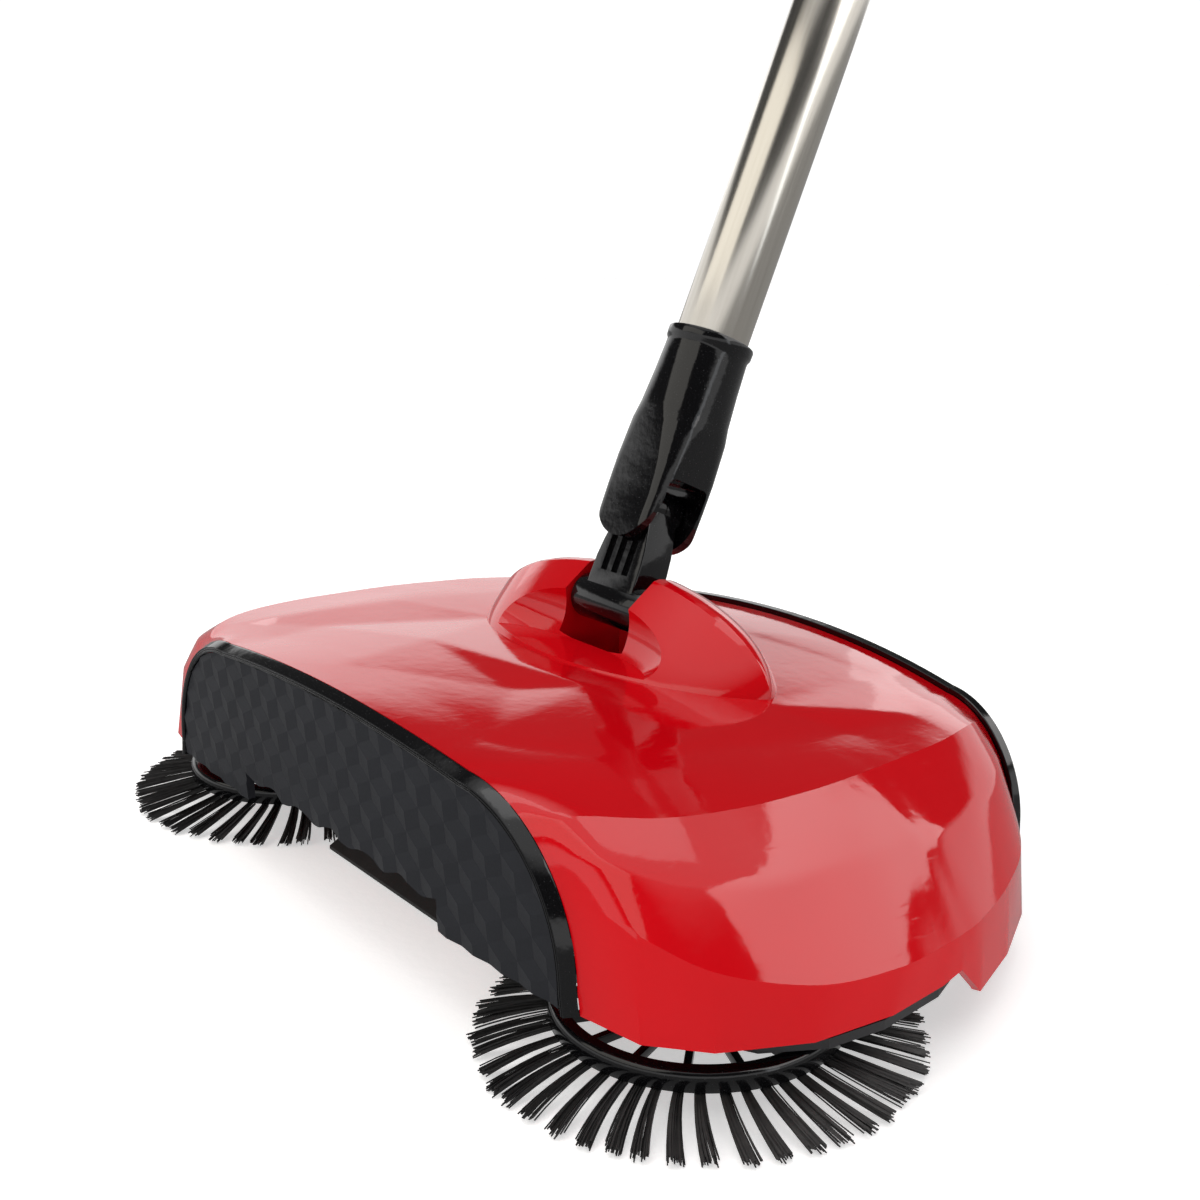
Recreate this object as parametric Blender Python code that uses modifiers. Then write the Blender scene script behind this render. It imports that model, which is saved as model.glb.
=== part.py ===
"""Hand-push spin sweeper: a red moulded head on two drive wheels and two rotary
brushes, with a two-way pivoting steel handle.

X runs across the head, Y from its front (-) to its back (+), Z up; the floor is Z = 0.
Head dimensions are measured from the head's own datum: the middle of the span
between the brush side and the dust box side, on the floor.
"""
import math

import bmesh
import bpy
from mathutils import Euler, Matrix, Vector

MM = 0.001
GAP = 0.3 * MM                     # clearance between pieces that touch

# ---- driving dimensions ------------------------------------------------------
HEAD_OFFSET_Y = -122.49 * MM        # head datum behind the origin, so the origin is mid-length
WALL = 2.5 * MM                    # moulded wall thickness

ARCH_HALF = 120.0 * MM             # front arch: half width
ARCH_TOP = 78.5 * MM               # front arch: height of the crown
ARCH_RADIUS = 46.0 * MM            # front arch: corner radius
ARCH_FALL = 0.8                    # crown falls by this times x squared (1/m)
ARCH_FOOT = 22.0 * MM              # front arch: lowest level
FRONT_Y = -96.5 * MM              # red edge of the front arch, at its ends
FRONT_BOW = 0.2                    # plan bow of the front face (1/m)
TRIM_DEPTH = 4.0 * MM              # how far the trim stands in front of the red edge
TRIM_WIDTH = 3.6 * MM              # trim band seen from the front

REAR_Y = 88.0 * MM                 # back edge on the centre line
REAR_BOW = 0.95                    # plan bow of the back (1/m)
REAR_TOP = 68.0 * MM               # rear arch: height of the crown
REAR_HALF = 117.0 * MM             # rear arch: half width
REAR_RADIUS = 34.0 * MM            # rear arch: corner radius
REAR_FOOT = 13.0 * MM

SKIRT_LOW = 12.0 * MM              # bottom of the shell behind the brushes
SKIRT_HIGH = 22.0 * MM             # bottom of the shell over the brushes

PIVOT_Y = 9.0 * MM                 # lower pivot, from the head datum
PIVOT_Z = 86.5 * MM
LEAN = 24.7                        # degrees the handle leans back at rest
KNUCKLE = 34.0 * MM                # lower pivot to upper pivot
TUBE_RADIUS = 12.5 * MM
TUBE_WALL = 0.35 * MM
TUBE_START = 26.0 * MM             # from the upper pivot
TUBE_1 = 270.0 * MM
TUBE_2 = 245.0 * MM
TUBE_3 = 225.0 * MM

SLOT_HALF = 17.5 * MM              # half width of the slot between the ears
EYE_HALF = 74.0 * MM               # raised eye: half length along X
EYE_Y = 11.0 * MM                  # raised eye: its ridge line
EYE_FRONT = 34.0 * MM
EYE_BACK = 33.0 * MM
EYE_RISE = 28.0 * MM
EYE_BASE = 71.0 * MM               # roof level around the eye

BRUSH_X = 117.4 * MM
BRUSH_Y = -54.0 * MM
BRUSH_RADIUS = 63.0 * MM
DISC_RADIUS = 41.0 * MM
DISC_LOW = 7.5 * MM
DISC_TOP = 13.5 * MM
SPOKES = 16

WHEEL_RADIUS = 20.5 * MM
WHEEL_Y = 60.0 * MM
WHEEL_IN = 68.0 * MM               # inner face of each wheel
WHEEL_WIDTH = 18.0 * MM

GEAR_PITCH = 6.0 * MM              # pitch radius of all four bevels of a drive
GEAR_TEETH = 12
GEAR_FACE = 2.2 * MM
SHAFT_RADIUS = 2.5 * MM

PLATE_LOW = 14.4 * MM
PLATE_TOP = 17.2 * MM

BOX_HALF = 58.0 * MM
BOX_FRONT = -28.0 * MM
BOX_LOW = 17.6 * MM
BOX_TOP = 50.0 * MM
BOX_WALL = 2.0 * MM

MOUTH_HALF = 61.0 * MM             # half width of the mouth in the front panel
MOUTH_TOP = 32.0 * MM
LOBE_LOW = 23.0 * MM


# ---- scene, collections and materials ----------------------------------------
for old in list(bpy.data.objects):
    bpy.data.objects.remove(old, do_unlink=True)

PARTS = bpy.data.collections.new("spin_sweeper")
CUTTERS = bpy.data.collections.new("cutters")
bpy.context.scene.collection.children.link(PARTS)
bpy.context.scene.collection.children.link(CUTTERS)


def principled(name, colour, roughness, metallic=0.0):
    """A Principled BSDF material of one colour."""
    mat = bpy.data.materials.new(name)
    mat.use_nodes = True
    shader = mat.node_tree.nodes["Principled BSDF"]
    shader.inputs["Base Color"].default_value = (*colour, 1.0)
    shader.inputs["Roughness"].default_value = roughness
    shader.inputs["Metallic"].default_value = metallic
    return mat


RED = principled("red_gloss", (0.62, 0.008, 0.012), 0.12)
BLACK = principled("black_gloss", (0.012, 0.012, 0.013), 0.2)
CHARCOAL = principled("charcoal_satin", (0.055, 0.058, 0.066), 0.45)
DARK = principled("dark_plastic", (0.03, 0.03, 0.032), 0.5)
CLEAR_GREY = principled("grey_plastic", (0.16, 0.16, 0.17), 0.4)
STEEL = principled("stainless", (0.66, 0.63, 0.58), 0.24, 1.0)
ZINC = principled("zinc_steel", (0.6, 0.6, 0.6), 0.35, 1.0)
RUBBER = principled("rubber", (0.025, 0.025, 0.025), 0.8)
NYLON = principled("white_nylon", (0.75, 0.74, 0.7), 0.5)
BRISTLE = principled("bristle", (0.012, 0.012, 0.012), 0.55)


# ---- frames: one empty for each thing that carries parts ----------------------
def frame(name, location, parent=None, rotation=(0, 0, 0)):
    """An empty that carries the pieces of one body."""
    empty = bpy.data.objects.new(name, None)
    empty.empty_display_size = 0.02
    empty.location = location
    empty.rotation_euler = rotation
    empty.parent = parent
    PARTS.objects.link(empty)
    return empty


HEAD = frame("head_frame", (0, HEAD_OFFSET_Y, 0))
YOKE = frame("yoke_frame", (0, PIVOT_Y, PIVOT_Z), HEAD, (-math.radians(LEAN), 0, 0))
HANDLE = frame("handle_frame", (0, 0, KNUCKLE), YOKE)


# ---- modelling helpers --------------------------------------------------------
def finish(name, mesh, mat, parent, location=(0, 0, 0), rotation=(0, 0, 0), cutter=False):
    """Make the named object from a mesh and put it in its place."""
    obj = bpy.data.objects.new(name, mesh)
    obj.location = location
    obj.rotation_euler = rotation
    obj.parent = parent
    if cutter:
        obj.hide_render = True
        obj.display_type = "WIRE"
        CUTTERS.objects.link(obj)
    else:
        mesh.materials.append(mat)
        PARTS.objects.link(obj)
    return obj


def to_mesh(name, bm):
    """A mesh from a bmesh, faces turned outward."""
    bmesh.ops.recalc_face_normals(bm, faces=bm.faces)
    if bm.calc_volume(signed=True) < 0:
        bmesh.ops.reverse_faces(bm, faces=bm.faces)
    mesh = bpy.data.meshes.new(name)
    bm.to_mesh(mesh)
    bm.free()
    return mesh


def box_mesh(name, low, high):
    """A block between two corners."""
    bm = bmesh.new()
    bmesh.ops.create_cube(bm, size=1.0)
    low, high = Vector(low), Vector(high)
    size = high - low
    bmesh.ops.scale(bm, vec=size, verts=bm.verts)
    bmesh.ops.translate(bm, vec=(low + high) / 2, verts=bm.verts)
    return to_mesh(name, bm)


def rod_mesh(name, radius, start, end, segments=16, end_radius=None):
    """A round bar or cone between two points."""
    start, end = Vector(start), Vector(end)
    axis = end - start
    bm = bmesh.new()
    bmesh.ops.create_cone(
        bm, cap_ends=True, segments=segments, radius1=radius,
        radius2=radius if end_radius is None else end_radius, depth=axis.length)
    turn = Vector((0, 0, 1)).rotation_difference(axis).to_matrix().to_4x4()
    bm.transform(Matrix.Translation((start + end) / 2) @ turn)
    return to_mesh(name, bm)


def turned(name, profile, mat, parent, location=(0, 0, 0), rotation=(0, 0, 0),
           steps=32, cutter=False):
    """A profile in the XZ plane, down its outer side, turned about Z.

    It closes on itself unless it starts and ends on the axis."""
    mesh = bpy.data.meshes.new(name)
    points = [(r, 0, z) for r, z in profile]
    edges = [(i, i + 1) for i in range(len(points) - 1)]
    if profile[0][0] > 0:
        edges.append((len(points) - 1, 0))
    mesh.from_pydata(points, edges, [])
    obj = finish(name, mesh, mat, parent, location, rotation, cutter)
    screw = obj.modifiers.new("turn", "SCREW")
    screw.steps = steps
    screw.render_steps = steps
    screw.use_merge_vertices = True
    screw.merge_threshold = 0.00001
    return obj


def loft_mesh(name, rings, closed=False):
    """A skin through rings of points; the ends are capped unless it closes on itself."""
    bm = bmesh.new()
    rows = [[bm.verts.new(p) for p in ring] for ring in rings]
    count = len(rows[0])
    pairs = list(zip(rows, rows[1:]))
    if closed:
        pairs.append((rows[-1], rows[0]))
    for a, b in pairs:
        for i in range(count):
            j = (i + 1) % count
            bm.faces.new((a[i], a[j], b[j], b[i]))
    if not closed:
        bm.faces.new(rows[0])
        bm.faces.new(rows[-1][::-1])
    return to_mesh(name, bm)


def flat_outline(name, loops, low, high):
    """A flat outline with holes, extruded between two levels along Z."""
    curve = bpy.data.curves.new(name, "CURVE")
    curve.dimensions = "2D"
    curve.fill_mode = "BOTH"
    curve.extrude = (high - low) / 2
    for loop in loops:
        spline = curve.splines.new("POLY")
        spline.points.add(len(loop) - 1)
        for point, (x, y) in zip(spline.points, loop):
            point.co = (x, y, 0, 1)
        spline.use_cyclic_u = True
    guide = bpy.data.objects.new(name + "_outline", curve)
    CUTTERS.objects.link(guide)
    bpy.context.view_layer.update()
    depsgraph = bpy.context.evaluated_depsgraph_get()
    mesh = bpy.data.meshes.new_from_object(guide.evaluated_get(depsgraph))
    bpy.data.objects.remove(guide)
    bm = bmesh.new()
    bm.from_mesh(mesh)
    bmesh.ops.remove_doubles(bm, verts=bm.verts, dist=0.00001)
    bmesh.ops.translate(bm, vec=(0, 0, (high + low) / 2), verts=bm.verts)
    return to_mesh(name, bm)


def boolean(obj, other, operation="DIFFERENCE"):
    """Cut one object with another, or join them."""
    mod = obj.modifiers.new(operation.lower(), "BOOLEAN")
    mod.operation = operation
    mod.solver = "EXACT"
    mod.object = other
    return mod


def circle(radius, count, cx=0.0, cy=0.0, start=0.0, sweep=360.0):
    """Points around an arc; a full circle leaves out the last one."""
    full = abs(sweep - 360.0) < 1e-6
    parts = count if full else count - 1
    out = []
    for i in range(count):
        a = math.radians(start + sweep * i / parts)
        out.append((cx + radius * math.cos(a), cy + radius * math.sin(a)))
    return out


# ---- red upper shell ------------------------------------------------------------
def front_y(x):
    """Plan line of the red shell's front edge."""
    return FRONT_Y - FRONT_BOW * (ARCH_HALF ** 2 - x ** 2)


def rear_y(x):
    """Plan line of the red shell's back edge."""
    return REAR_Y - REAR_BOW * x ** 2


def arch_points(half, top, radius, foot, inset=0.0):
    """Right half of an arch from its crown to its foot, as (x, z)."""
    centre_x = half - radius
    centre_z = top - ARCH_FALL * centre_x ** 2 - radius
    points = []
    for i in range(7):
        x = centre_x * i / 6
        points.append((x, top - inset - ARCH_FALL * x ** 2))
    for i in range(1, 7):
        a = math.radians(90 - 15 * i)
        r = radius - inset
        points.append((centre_x + r * math.cos(a), centre_z + r * math.sin(a)))
    points.append((half - inset + 0.5 * MM, (centre_z + foot) / 2))
    points.append((half - inset + 1.0 * MM, foot))
    return points


def full_arch(half, top, radius, foot, inset=0.0):
    """The whole arch from its left foot over the crown to its right foot."""
    right = arch_points(half, top, radius, foot, inset)
    left = [(-x, z) for x, z in right[:0:-1]]
    return left + right


# Stations fan round the side of the head from the front arch to the back arch.
# The roof crease, the side crease and the hem run through all of them; every
# station has as many points as the arches, so the trims meet the cover edge to edge.
ROOF_COLUMN = 8                    # the roof crease
SIDE_COLUMN = 10                   # the side crease
HEM_COLUMN = 14


def arch_station(half, top, radius, foot, y_of):
    """Right half of the cover's edge along an arch."""
    return [Vector((x, y_of(x), z)) for x, z in arch_points(half, top, radius, foot)]


def body_station(centre, crease, side, hem):
    """Right half of one section of the cover, from its four key points in mm."""
    row = []
    centre, crease, side, hem = (Vector(p) * MM for p in (centre, crease, side, hem))
    for j in range(ROOF_COLUMN + 1):
        t = j / ROOF_COLUMN
        point = centre.lerp(crease, t)
        point.x = crease.x * t
        point.y = centre.y + (crease.y - centre.y) * t ** 2
        point.z = centre.z + (crease.z - centre.z) * t ** 2
        row.append(point)
    middle = crease.lerp(side, 0.5) + Vector((0.035, 0, 0.09)) * (side - crease).length
    row += [middle, side]
    for j in range(SIDE_COLUMN + 1, HEM_COLUMN + 1):
        t = (j - SIDE_COLUMN) / (HEM_COLUMN - SIDE_COLUMN)
        row.append(side.lerp(hem, t))
    return row


def shell_stations():
    """Right half of the cover, front arch to back arch."""
    low, high = SKIRT_LOW / MM, SKIRT_HIGH / MM
    rows = [arch_station(ARCH_HALF, ARCH_TOP, ARCH_RADIUS, ARCH_FOOT, front_y)]
    rows.append(body_station((0, -82, 77.0), (110, -88, 70.5), (136, -91, 49), (141, -93, high)))
    rows.append(body_station((0, -62, 75.8), (123, -71, 70.0), (153, -79, 42), (155, -81, high)))
    rows.append(body_station((0, -40, 74.5), (129, -49, 69.5), (165, -56, 36.5), (166, -58, high)))
    rows.append(body_station((0, -18, 73.2), (130, -26, 69.0), (168, -31, 34.5), (168.5, -33, high)))
    rows.append(body_station((0, 0, 72.4), (129, -8, 68.8), (166, -11, 34), (166.5, -12, high + 0.5)))
    rows.append(body_station((0, 8, 72.2), (128, 0, 68.6), (164.5, -2, 34), (165, -3, high + 1.5)))
    rows.append(body_station((0, 17, 71.9), (126.5, 10, 68.3), (161.5, 9, 34), (162, 9, low)))
    rows.append(body_station((0, 42, 71.0), (122, 34, 67.3), (151.5, 32, 34), (152.5, 32, low)))
    rows.append(body_station((0, 66, 70.0), (113, 58, 65.0), (137, 55, 35.5), (138.5, 56, low)))
    rows.append(arch_station(REAR_HALF, REAR_TOP, REAR_RADIUS, REAR_FOOT, rear_y))
    return rows


def shell_sheet(name):
    """Open quad sheet over the right half."""
    bm = bmesh.new()
    grid = [[bm.verts.new(p) for p in row] for row in shell_stations()]
    for a, b in zip(grid, grid[1:]):
        for j in range(len(a) - 1):
            bm.faces.new((a[j], b[j], b[j + 1], a[j + 1]))
    mesh = bpy.data.meshes.new(name)
    bm.normal_update()
    if sum(f.normal.z for f in bm.faces) < 0:
        bmesh.ops.reverse_faces(bm, faces=bm.faces)
    bm.to_mesh(mesh)
    bm.free()
    return mesh


def eye_front(x):
    """Front edge of the raised eye."""
    u = max(0.0, 1 - (x / EYE_HALF) ** 2)
    return EYE_Y - EYE_FRONT * u ** 0.7


def eye_back(x):
    """Back edge of the raised eye."""
    u = max(0.0, 1 - (x / EYE_HALF) ** 2)
    return EYE_Y + EYE_BACK * u ** 0.75


def eye_solid(name, inset, rise_less, low):
    """The raised eye as a closed lump that reaches down below the roof."""
    half = EYE_HALF - 2.2 * inset
    count = 19
    profile = 9
    rows = []
    for i in range(count):
        s = math.sin(math.pi / 2 * (2 * i / (count - 1) - 1))
        x = half * s
        u = max(1e-4, 1 - s ** 2)
        y0 = EYE_Y - (EYE_FRONT - inset) * u ** 0.7
        y1 = EYE_Y + (EYE_BACK - inset) * u ** 0.75
        rise = (EYE_RISE - rise_less) * math.sqrt(u)
        row = []
        for k in range(profile):
            t = k / (profile - 1)
            y = y0 + (y1 - y0) * t
            if y < EYE_Y:
                g = max(0.0, (y - y0) / (EYE_Y - y0)) ** 0.85
            else:
                v = (y1 - y) / (y1 - EYE_Y)
                g = max(0.0, math.sin(math.pi / 2 * v)) ** 0.8
            row.append((x, y, EYE_BASE - rise_less * 0.2 + rise * g))
        row += [(x, y1, low), (x, y0, low)]
        rows.append(row)
    return loft_mesh(name, rows)


def eye_scoop(name, grow):
    """The hollow scooped out in front of the ears."""
    bm = bmesh.new()
    bmesh.ops.create_uvsphere(bm, u_segments=20, v_segments=12, radius=1.0)
    size = (54 * MM + grow, 16 * MM + grow, 18.5 * MM + grow)
    bmesh.ops.scale(bm, vec=size, verts=bm.verts)
    bmesh.ops.translate(bm, vec=(0, -15 * MM, 86 * MM), verts=bm.verts)
    return to_mesh(name, bm)


def ears():
    """Hollow cap with the scoop, the slot cheeks and the floor behind the slot."""
    outer = finish("eye_cap", eye_solid("eye_cap", 0, 0, 62 * MM), None, HEAD, cutter=True)
    scoop = finish("eye_scoop", eye_scoop("eye_scoop", 0), None, HEAD, cutter=True)
    boolean(outer, scoop)
    scoop_wall = finish("eye_scoop_wall", eye_scoop("eye_scoop_wall", WALL), None, HEAD, cutter=True)
    for side in (-1, 1):
        cavity = finish("eye_cavity", eye_solid("eye_cavity", WALL, WALL, 50 * MM),
                        None, HEAD, cutter=True)
        keep = box_mesh("eye_half", (0, -60 * MM, 40 * MM), (120 * MM, 80 * MM, 130 * MM))
        half = finish("eye_half", keep, None, HEAD, cutter=True)
        if side < 0:
            half.location = (-120 * MM - SLOT_HALF - WALL, 0, 0)
        else:
            half.location = (SLOT_HALF + WALL, 0, 0)
        boolean(cavity, half, "INTERSECT")
        boolean(cavity, scoop_wall)
        boolean(outer, cavity)
    return outer


def eye_prism():
    """Upright block that clears the roof inside the eye, just short of its rim."""
    count = 25
    loop = []
    inset = 1.2 * MM
    for i in range(count):
        x = (EYE_HALF - 3 * MM) * math.sin(math.pi / 2 * (2 * i / (count - 1) - 1))
        loop.append((x, eye_front(x) + inset))
    for i in range(1, count - 1):
        x = (EYE_HALF - 3 * MM) * math.sin(math.pi / 2 * (1 - 2 * i / (count - 1)))
        loop.append((x, eye_back(x) - inset))
    rings = [[(x, y, z) for x, y in loop] for z in (55 * MM, 110 * MM)]
    return finish("eye_prism", loft_mesh("eye_prism", rings), None, HEAD, cutter=True)


def upper_shell():
    """Red moulded cover of the head."""
    shell = finish("upper_shell", shell_sheet("upper_shell"), RED, HEAD)
    shell.data.shade_smooth()
    mirror = shell.modifiers.new("mirror", "MIRROR")
    mirror.use_axis[0] = True
    mirror.use_clip = True
    mirror.merge_threshold = 0.0001
    wall = shell.modifiers.new("wall", "SOLIDIFY")
    wall.thickness = WALL
    wall.offset = -1.0
    wall.use_even_offset = True
    boolean(shell, eye_prism())
    boolean(shell, ears(), "UNION")
    slot = box_mesh("ear_slot", (-SLOT_HALF, -3 * MM, 40 * MM), (SLOT_HALF, 23 * MM, 130 * MM))
    boolean(shell, finish("ear_slot", slot, None, HEAD, cutter=True))
    back = box_mesh("ear_slot_back", (-SLOT_HALF, 22 * MM, 73 * MM), (SLOT_HALF, 60 * MM, 130 * MM))
    boolean(shell, finish("ear_slot_back", back, None, HEAD, cutter=True))
    pin = rod_mesh("pin_bore", SHAFT_RADIUS + GAP, (-30 * MM, PIVOT_Y, PIVOT_Z),
                   (30 * MM, PIVOT_Y, PIVOT_Z))
    boolean(shell, finish("pin_bore", pin, None, HEAD, cutter=True))
    return shell


# ---- front and rear trims --------------------------------------------------------
def trim_frame(name, section, path, y_of, sign, mat):
    """A band swept along an arch; section gives (inset, depth) corners."""
    rings = []
    arches = [path(inset) for inset, depth in section]
    for i in range(len(arches[0])):
        ring = []
        for (inset, depth), arch in zip(section, arches):
            x, z = arch[i]
            ring.append((x, y_of(x) + sign * depth, z))
        rings.append(ring)
    return finish(name, loft_mesh(name, rings), mat, HEAD)


def front_trim():
    """Glossy black band round the front panel, with its outer chamfer."""
    def path(inset):
        return full_arch(ARCH_HALF, ARCH_TOP, ARCH_RADIUS, ARCH_FOOT, inset)
    section = [(0, GAP), (0.2 * MM, 1.0 * MM), (1.6 * MM, TRIM_DEPTH), (2.9 * MM, TRIM_DEPTH),
               (TRIM_WIDTH, TRIM_DEPTH - 0.7 * MM), (TRIM_WIDTH, GAP)]
    return trim_frame("front_trim", section, path, front_y, -1, BLACK)


def rear_trim():
    """Black band round the back of the head."""
    def path(inset):
        return full_arch(REAR_HALF, REAR_TOP, REAR_RADIUS, REAR_FOOT, inset)
    section = [(0, GAP), (0.4 * MM, 2.5 * MM), (2.6 * MM, 5.0 * MM), (5.5 * MM, 5.0 * MM),
               (5.5 * MM, GAP)]
    return trim_frame("rear_trim", section, path, rear_y, 1, BLACK)


def arch_height(x, half, top, radius, inset):
    """Height of an inset arch at one x."""
    centre_x = half - radius
    centre_z = top - ARCH_FALL * centre_x ** 2 - radius
    if abs(x) <= centre_x:
        return top - inset - ARCH_FALL * x ** 2
    reach = min(abs(x) - centre_x, radius - inset)
    return centre_z + math.sqrt(max(0.0, (radius - inset) ** 2 - reach ** 2))


def panel_mesh(name, stations, y_of, depth, thick, sign):
    """A bowed plate from (x, low z, high z) stations."""
    rings = []
    for x, low, high in stations:
        y0 = y_of(x) + sign * (depth - thick)
        y1 = y_of(x) + sign * depth
        rings.append([(x, y0, low), (x, y1, low), (x, y1, high), (x, y0, high)])
    return loft_mesh(name, rings)


def mouth_edge(x):
    """Scalloped upper edge of the mouth."""
    return MOUTH_TOP + 1.2 * MM * math.cos(2 * math.pi * x / (21 * MM))


def front_panel():
    """Textured charcoal panel with the scalloped mouth along its foot."""
    inset = TRIM_WIDTH + 2 * GAP
    half = ARCH_HALF - inset
    xs = [-half + 0.02 * MM]
    xs += [-half + (half - 76 * MM) * (1 - math.cos(math.pi / 2 * k / 7)) for k in range(1, 8)]
    xs += [-66 * MM]
    left = [(x, LOBE_LOW + (2 * MM if x < -half + 1 * MM else 0)) for x in xs]
    left.append((-MOUTH_HALF - 0.05 * MM, LOBE_LOW))
    mouth = []
    count = 40
    for i in range(count + 1):
        x = -MOUTH_HALF + 2 * MOUTH_HALF * i / count
        mouth.append((x, mouth_edge(x)))
    right = [(-x, z) for x, z in left[::-1]]
    stations = []
    for x, low in left + mouth + right:
        high = arch_height(x, ARCH_HALF, ARCH_TOP, ARCH_RADIUS, inset)
        stations.append((x, low, max(high, low + 5 * MM)))
    mesh = panel_mesh("front_panel", stations, front_y, TRIM_DEPTH - 0.5 * MM, 2.4 * MM, -1)
    return finish("front_panel", mesh, CHARCOAL, HEAD)


def rear_panel():
    """Back panel that frames the dust box drawer."""
    inset = 5.5 * MM + GAP
    half = REAR_HALF - inset
    opening = BOX_HALF + 2.5 * MM
    xs = [-half + 0.02 * MM]
    xs += [-half + (half - 86 * MM) * (1 - math.cos(math.pi / 2 * k / 6)) for k in range(1, 7)]
    xs += [-73 * MM, -opening - 0.05 * MM]
    left = [(x, REAR_FOOT + 1 * MM) for x in xs]
    middle = [(-opening + 2 * opening * i / 12, BOX_TOP + 4 * MM) for i in range(13)]
    right = [(-x, z) for x, z in left[::-1]]
    stations = []
    for x, low in left + middle + right:
        high = arch_height(x, REAR_HALF, REAR_TOP, REAR_RADIUS, inset)
        stations.append((x, low, max(high, low + 3 * MM)))
    mesh = panel_mesh("rear_panel", stations, rear_y, 4.0 * MM, 2.4 * MM, 1)
    return finish("rear_panel", mesh, CHARCOAL, HEAD)


# ---- base of the head ---------------------------------------------------------------
def base_outline():
    """Footprint of the base plate, inside the skirt."""
    right = [(54, -34), (54, -66), (106, -70), (138, -72), (152, -64), (161, -48), (163, -30),
             (160, -6), (147, 24), (132, 48), (89, 48), (89, 38), (66, 38), (66, 80.5), (62, 81.5)]
    return [Vector((x, y, 0)) * MM for x, y in right]


def base_plate():
    """Flat chassis plate: two wings beside the dust path, joined behind it."""
    right = base_outline()
    loop = [(p.x, p.y) for p in right]
    loop += [(-x, y) for x, y in loop[::-1]]
    loops = [loop]
    for side in (-1, 1):
        gear = [(109, -62), (126, -62), (126, -41), (109, -41)]
        loops.append([(side * x * MM, y * MM) for x, y in gear])
    mesh = flat_outline("base_plate", loops, PLATE_LOW, PLATE_TOP)
    return finish("base_plate", mesh, DARK, HEAD)


def scoop_ramp():
    """Sloping floor that leads the dirt up into the dust box."""
    half = 53.4 * MM
    low_y, low_z = -70 * MM, 3.2 * MM
    top_y, top_z = -34.3 * MM, PLATE_TOP
    rings = [[(x, low_y, low_z), (x, top_y, top_z - 2 * MM), (x, top_y, top_z), (x, low_y, low_z + 2 * MM)]
             for x in (-half, half)]
    return finish("scoop_ramp", loft_mesh("scoop_ramp", rings), DARK, HEAD)


def scraper_lip():
    """Rubber lip along the ramp's lower edge."""
    half = 53.4 * MM
    rings = [[(x, -76 * MM, 0.8 * MM), (x, -70.3 * MM, 3.0 * MM), (x, -70.3 * MM, 5.0 * MM),
              (x, -76 * MM, 2.0 * MM)] for x in (-half, half)]
    return finish("scraper_lip", loft_mesh("scraper_lip", rings), RUBBER, HEAD)


def base_screws():
    """Pan-head screws that hold the base plate up to the cover."""
    places = [(-153, -20), (153, -20), (-132, 30), (132, 30), (-68, -56), (68, -56)]
    for i, (x, y) in enumerate(places):
        profile = [(0, PLATE_LOW - GAP), (3.4 * MM, PLATE_LOW - GAP), (3.4 * MM, PLATE_LOW - 1.3 * MM),
                   (2.0 * MM, PLATE_LOW - 2.1 * MM), (0, PLATE_LOW - 2.1 * MM)]
        turned(f"base_screw_{i + 1}", profile, ZINC, HEAD, (x * MM, y * MM, 0), steps=12)


# ---- drive train: wheel, layshaft and brush on each side ------------------------------
def bevel_gear_mesh(name, phase):
    """Bevel gear about Z with its apex at the origin and its teeth facing +Z from below.

    The big end lies at Z = -GEAR_PITCH, so two of them on crossing axes mesh."""
    rings = []
    tooth = 360.0 / GEAR_TEETH
    for level in (GEAR_PITCH, GEAR_PITCH - GEAR_FACE):
        scale = level / GEAR_PITCH
        ring = []
        for i in range(GEAR_TEETH):
            for part, reach in ((-0.30, -0.75), (-0.14, 0.60), (0.14, 0.60), (0.30, -0.75)):
                a = math.radians(tooth * (i + part + phase))
                r = (GEAR_PITCH + reach * MM) * scale
                ring.append((r * math.cos(a), r * math.sin(a), -level))
        rings.append(ring)
    return loft_mesh(name, rings)


def bored(obj, radius, start, end):
    """Drill a round hole through an object."""
    tool = finish(obj.name + "_bore", rod_mesh(obj.name + "_bore", radius, start, end),
                  None, None, cutter=True)
    tool.parent = obj.parent
    tool.location = obj.location
    tool.rotation_euler = obj.rotation_euler
    boolean(obj, tool)


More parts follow.
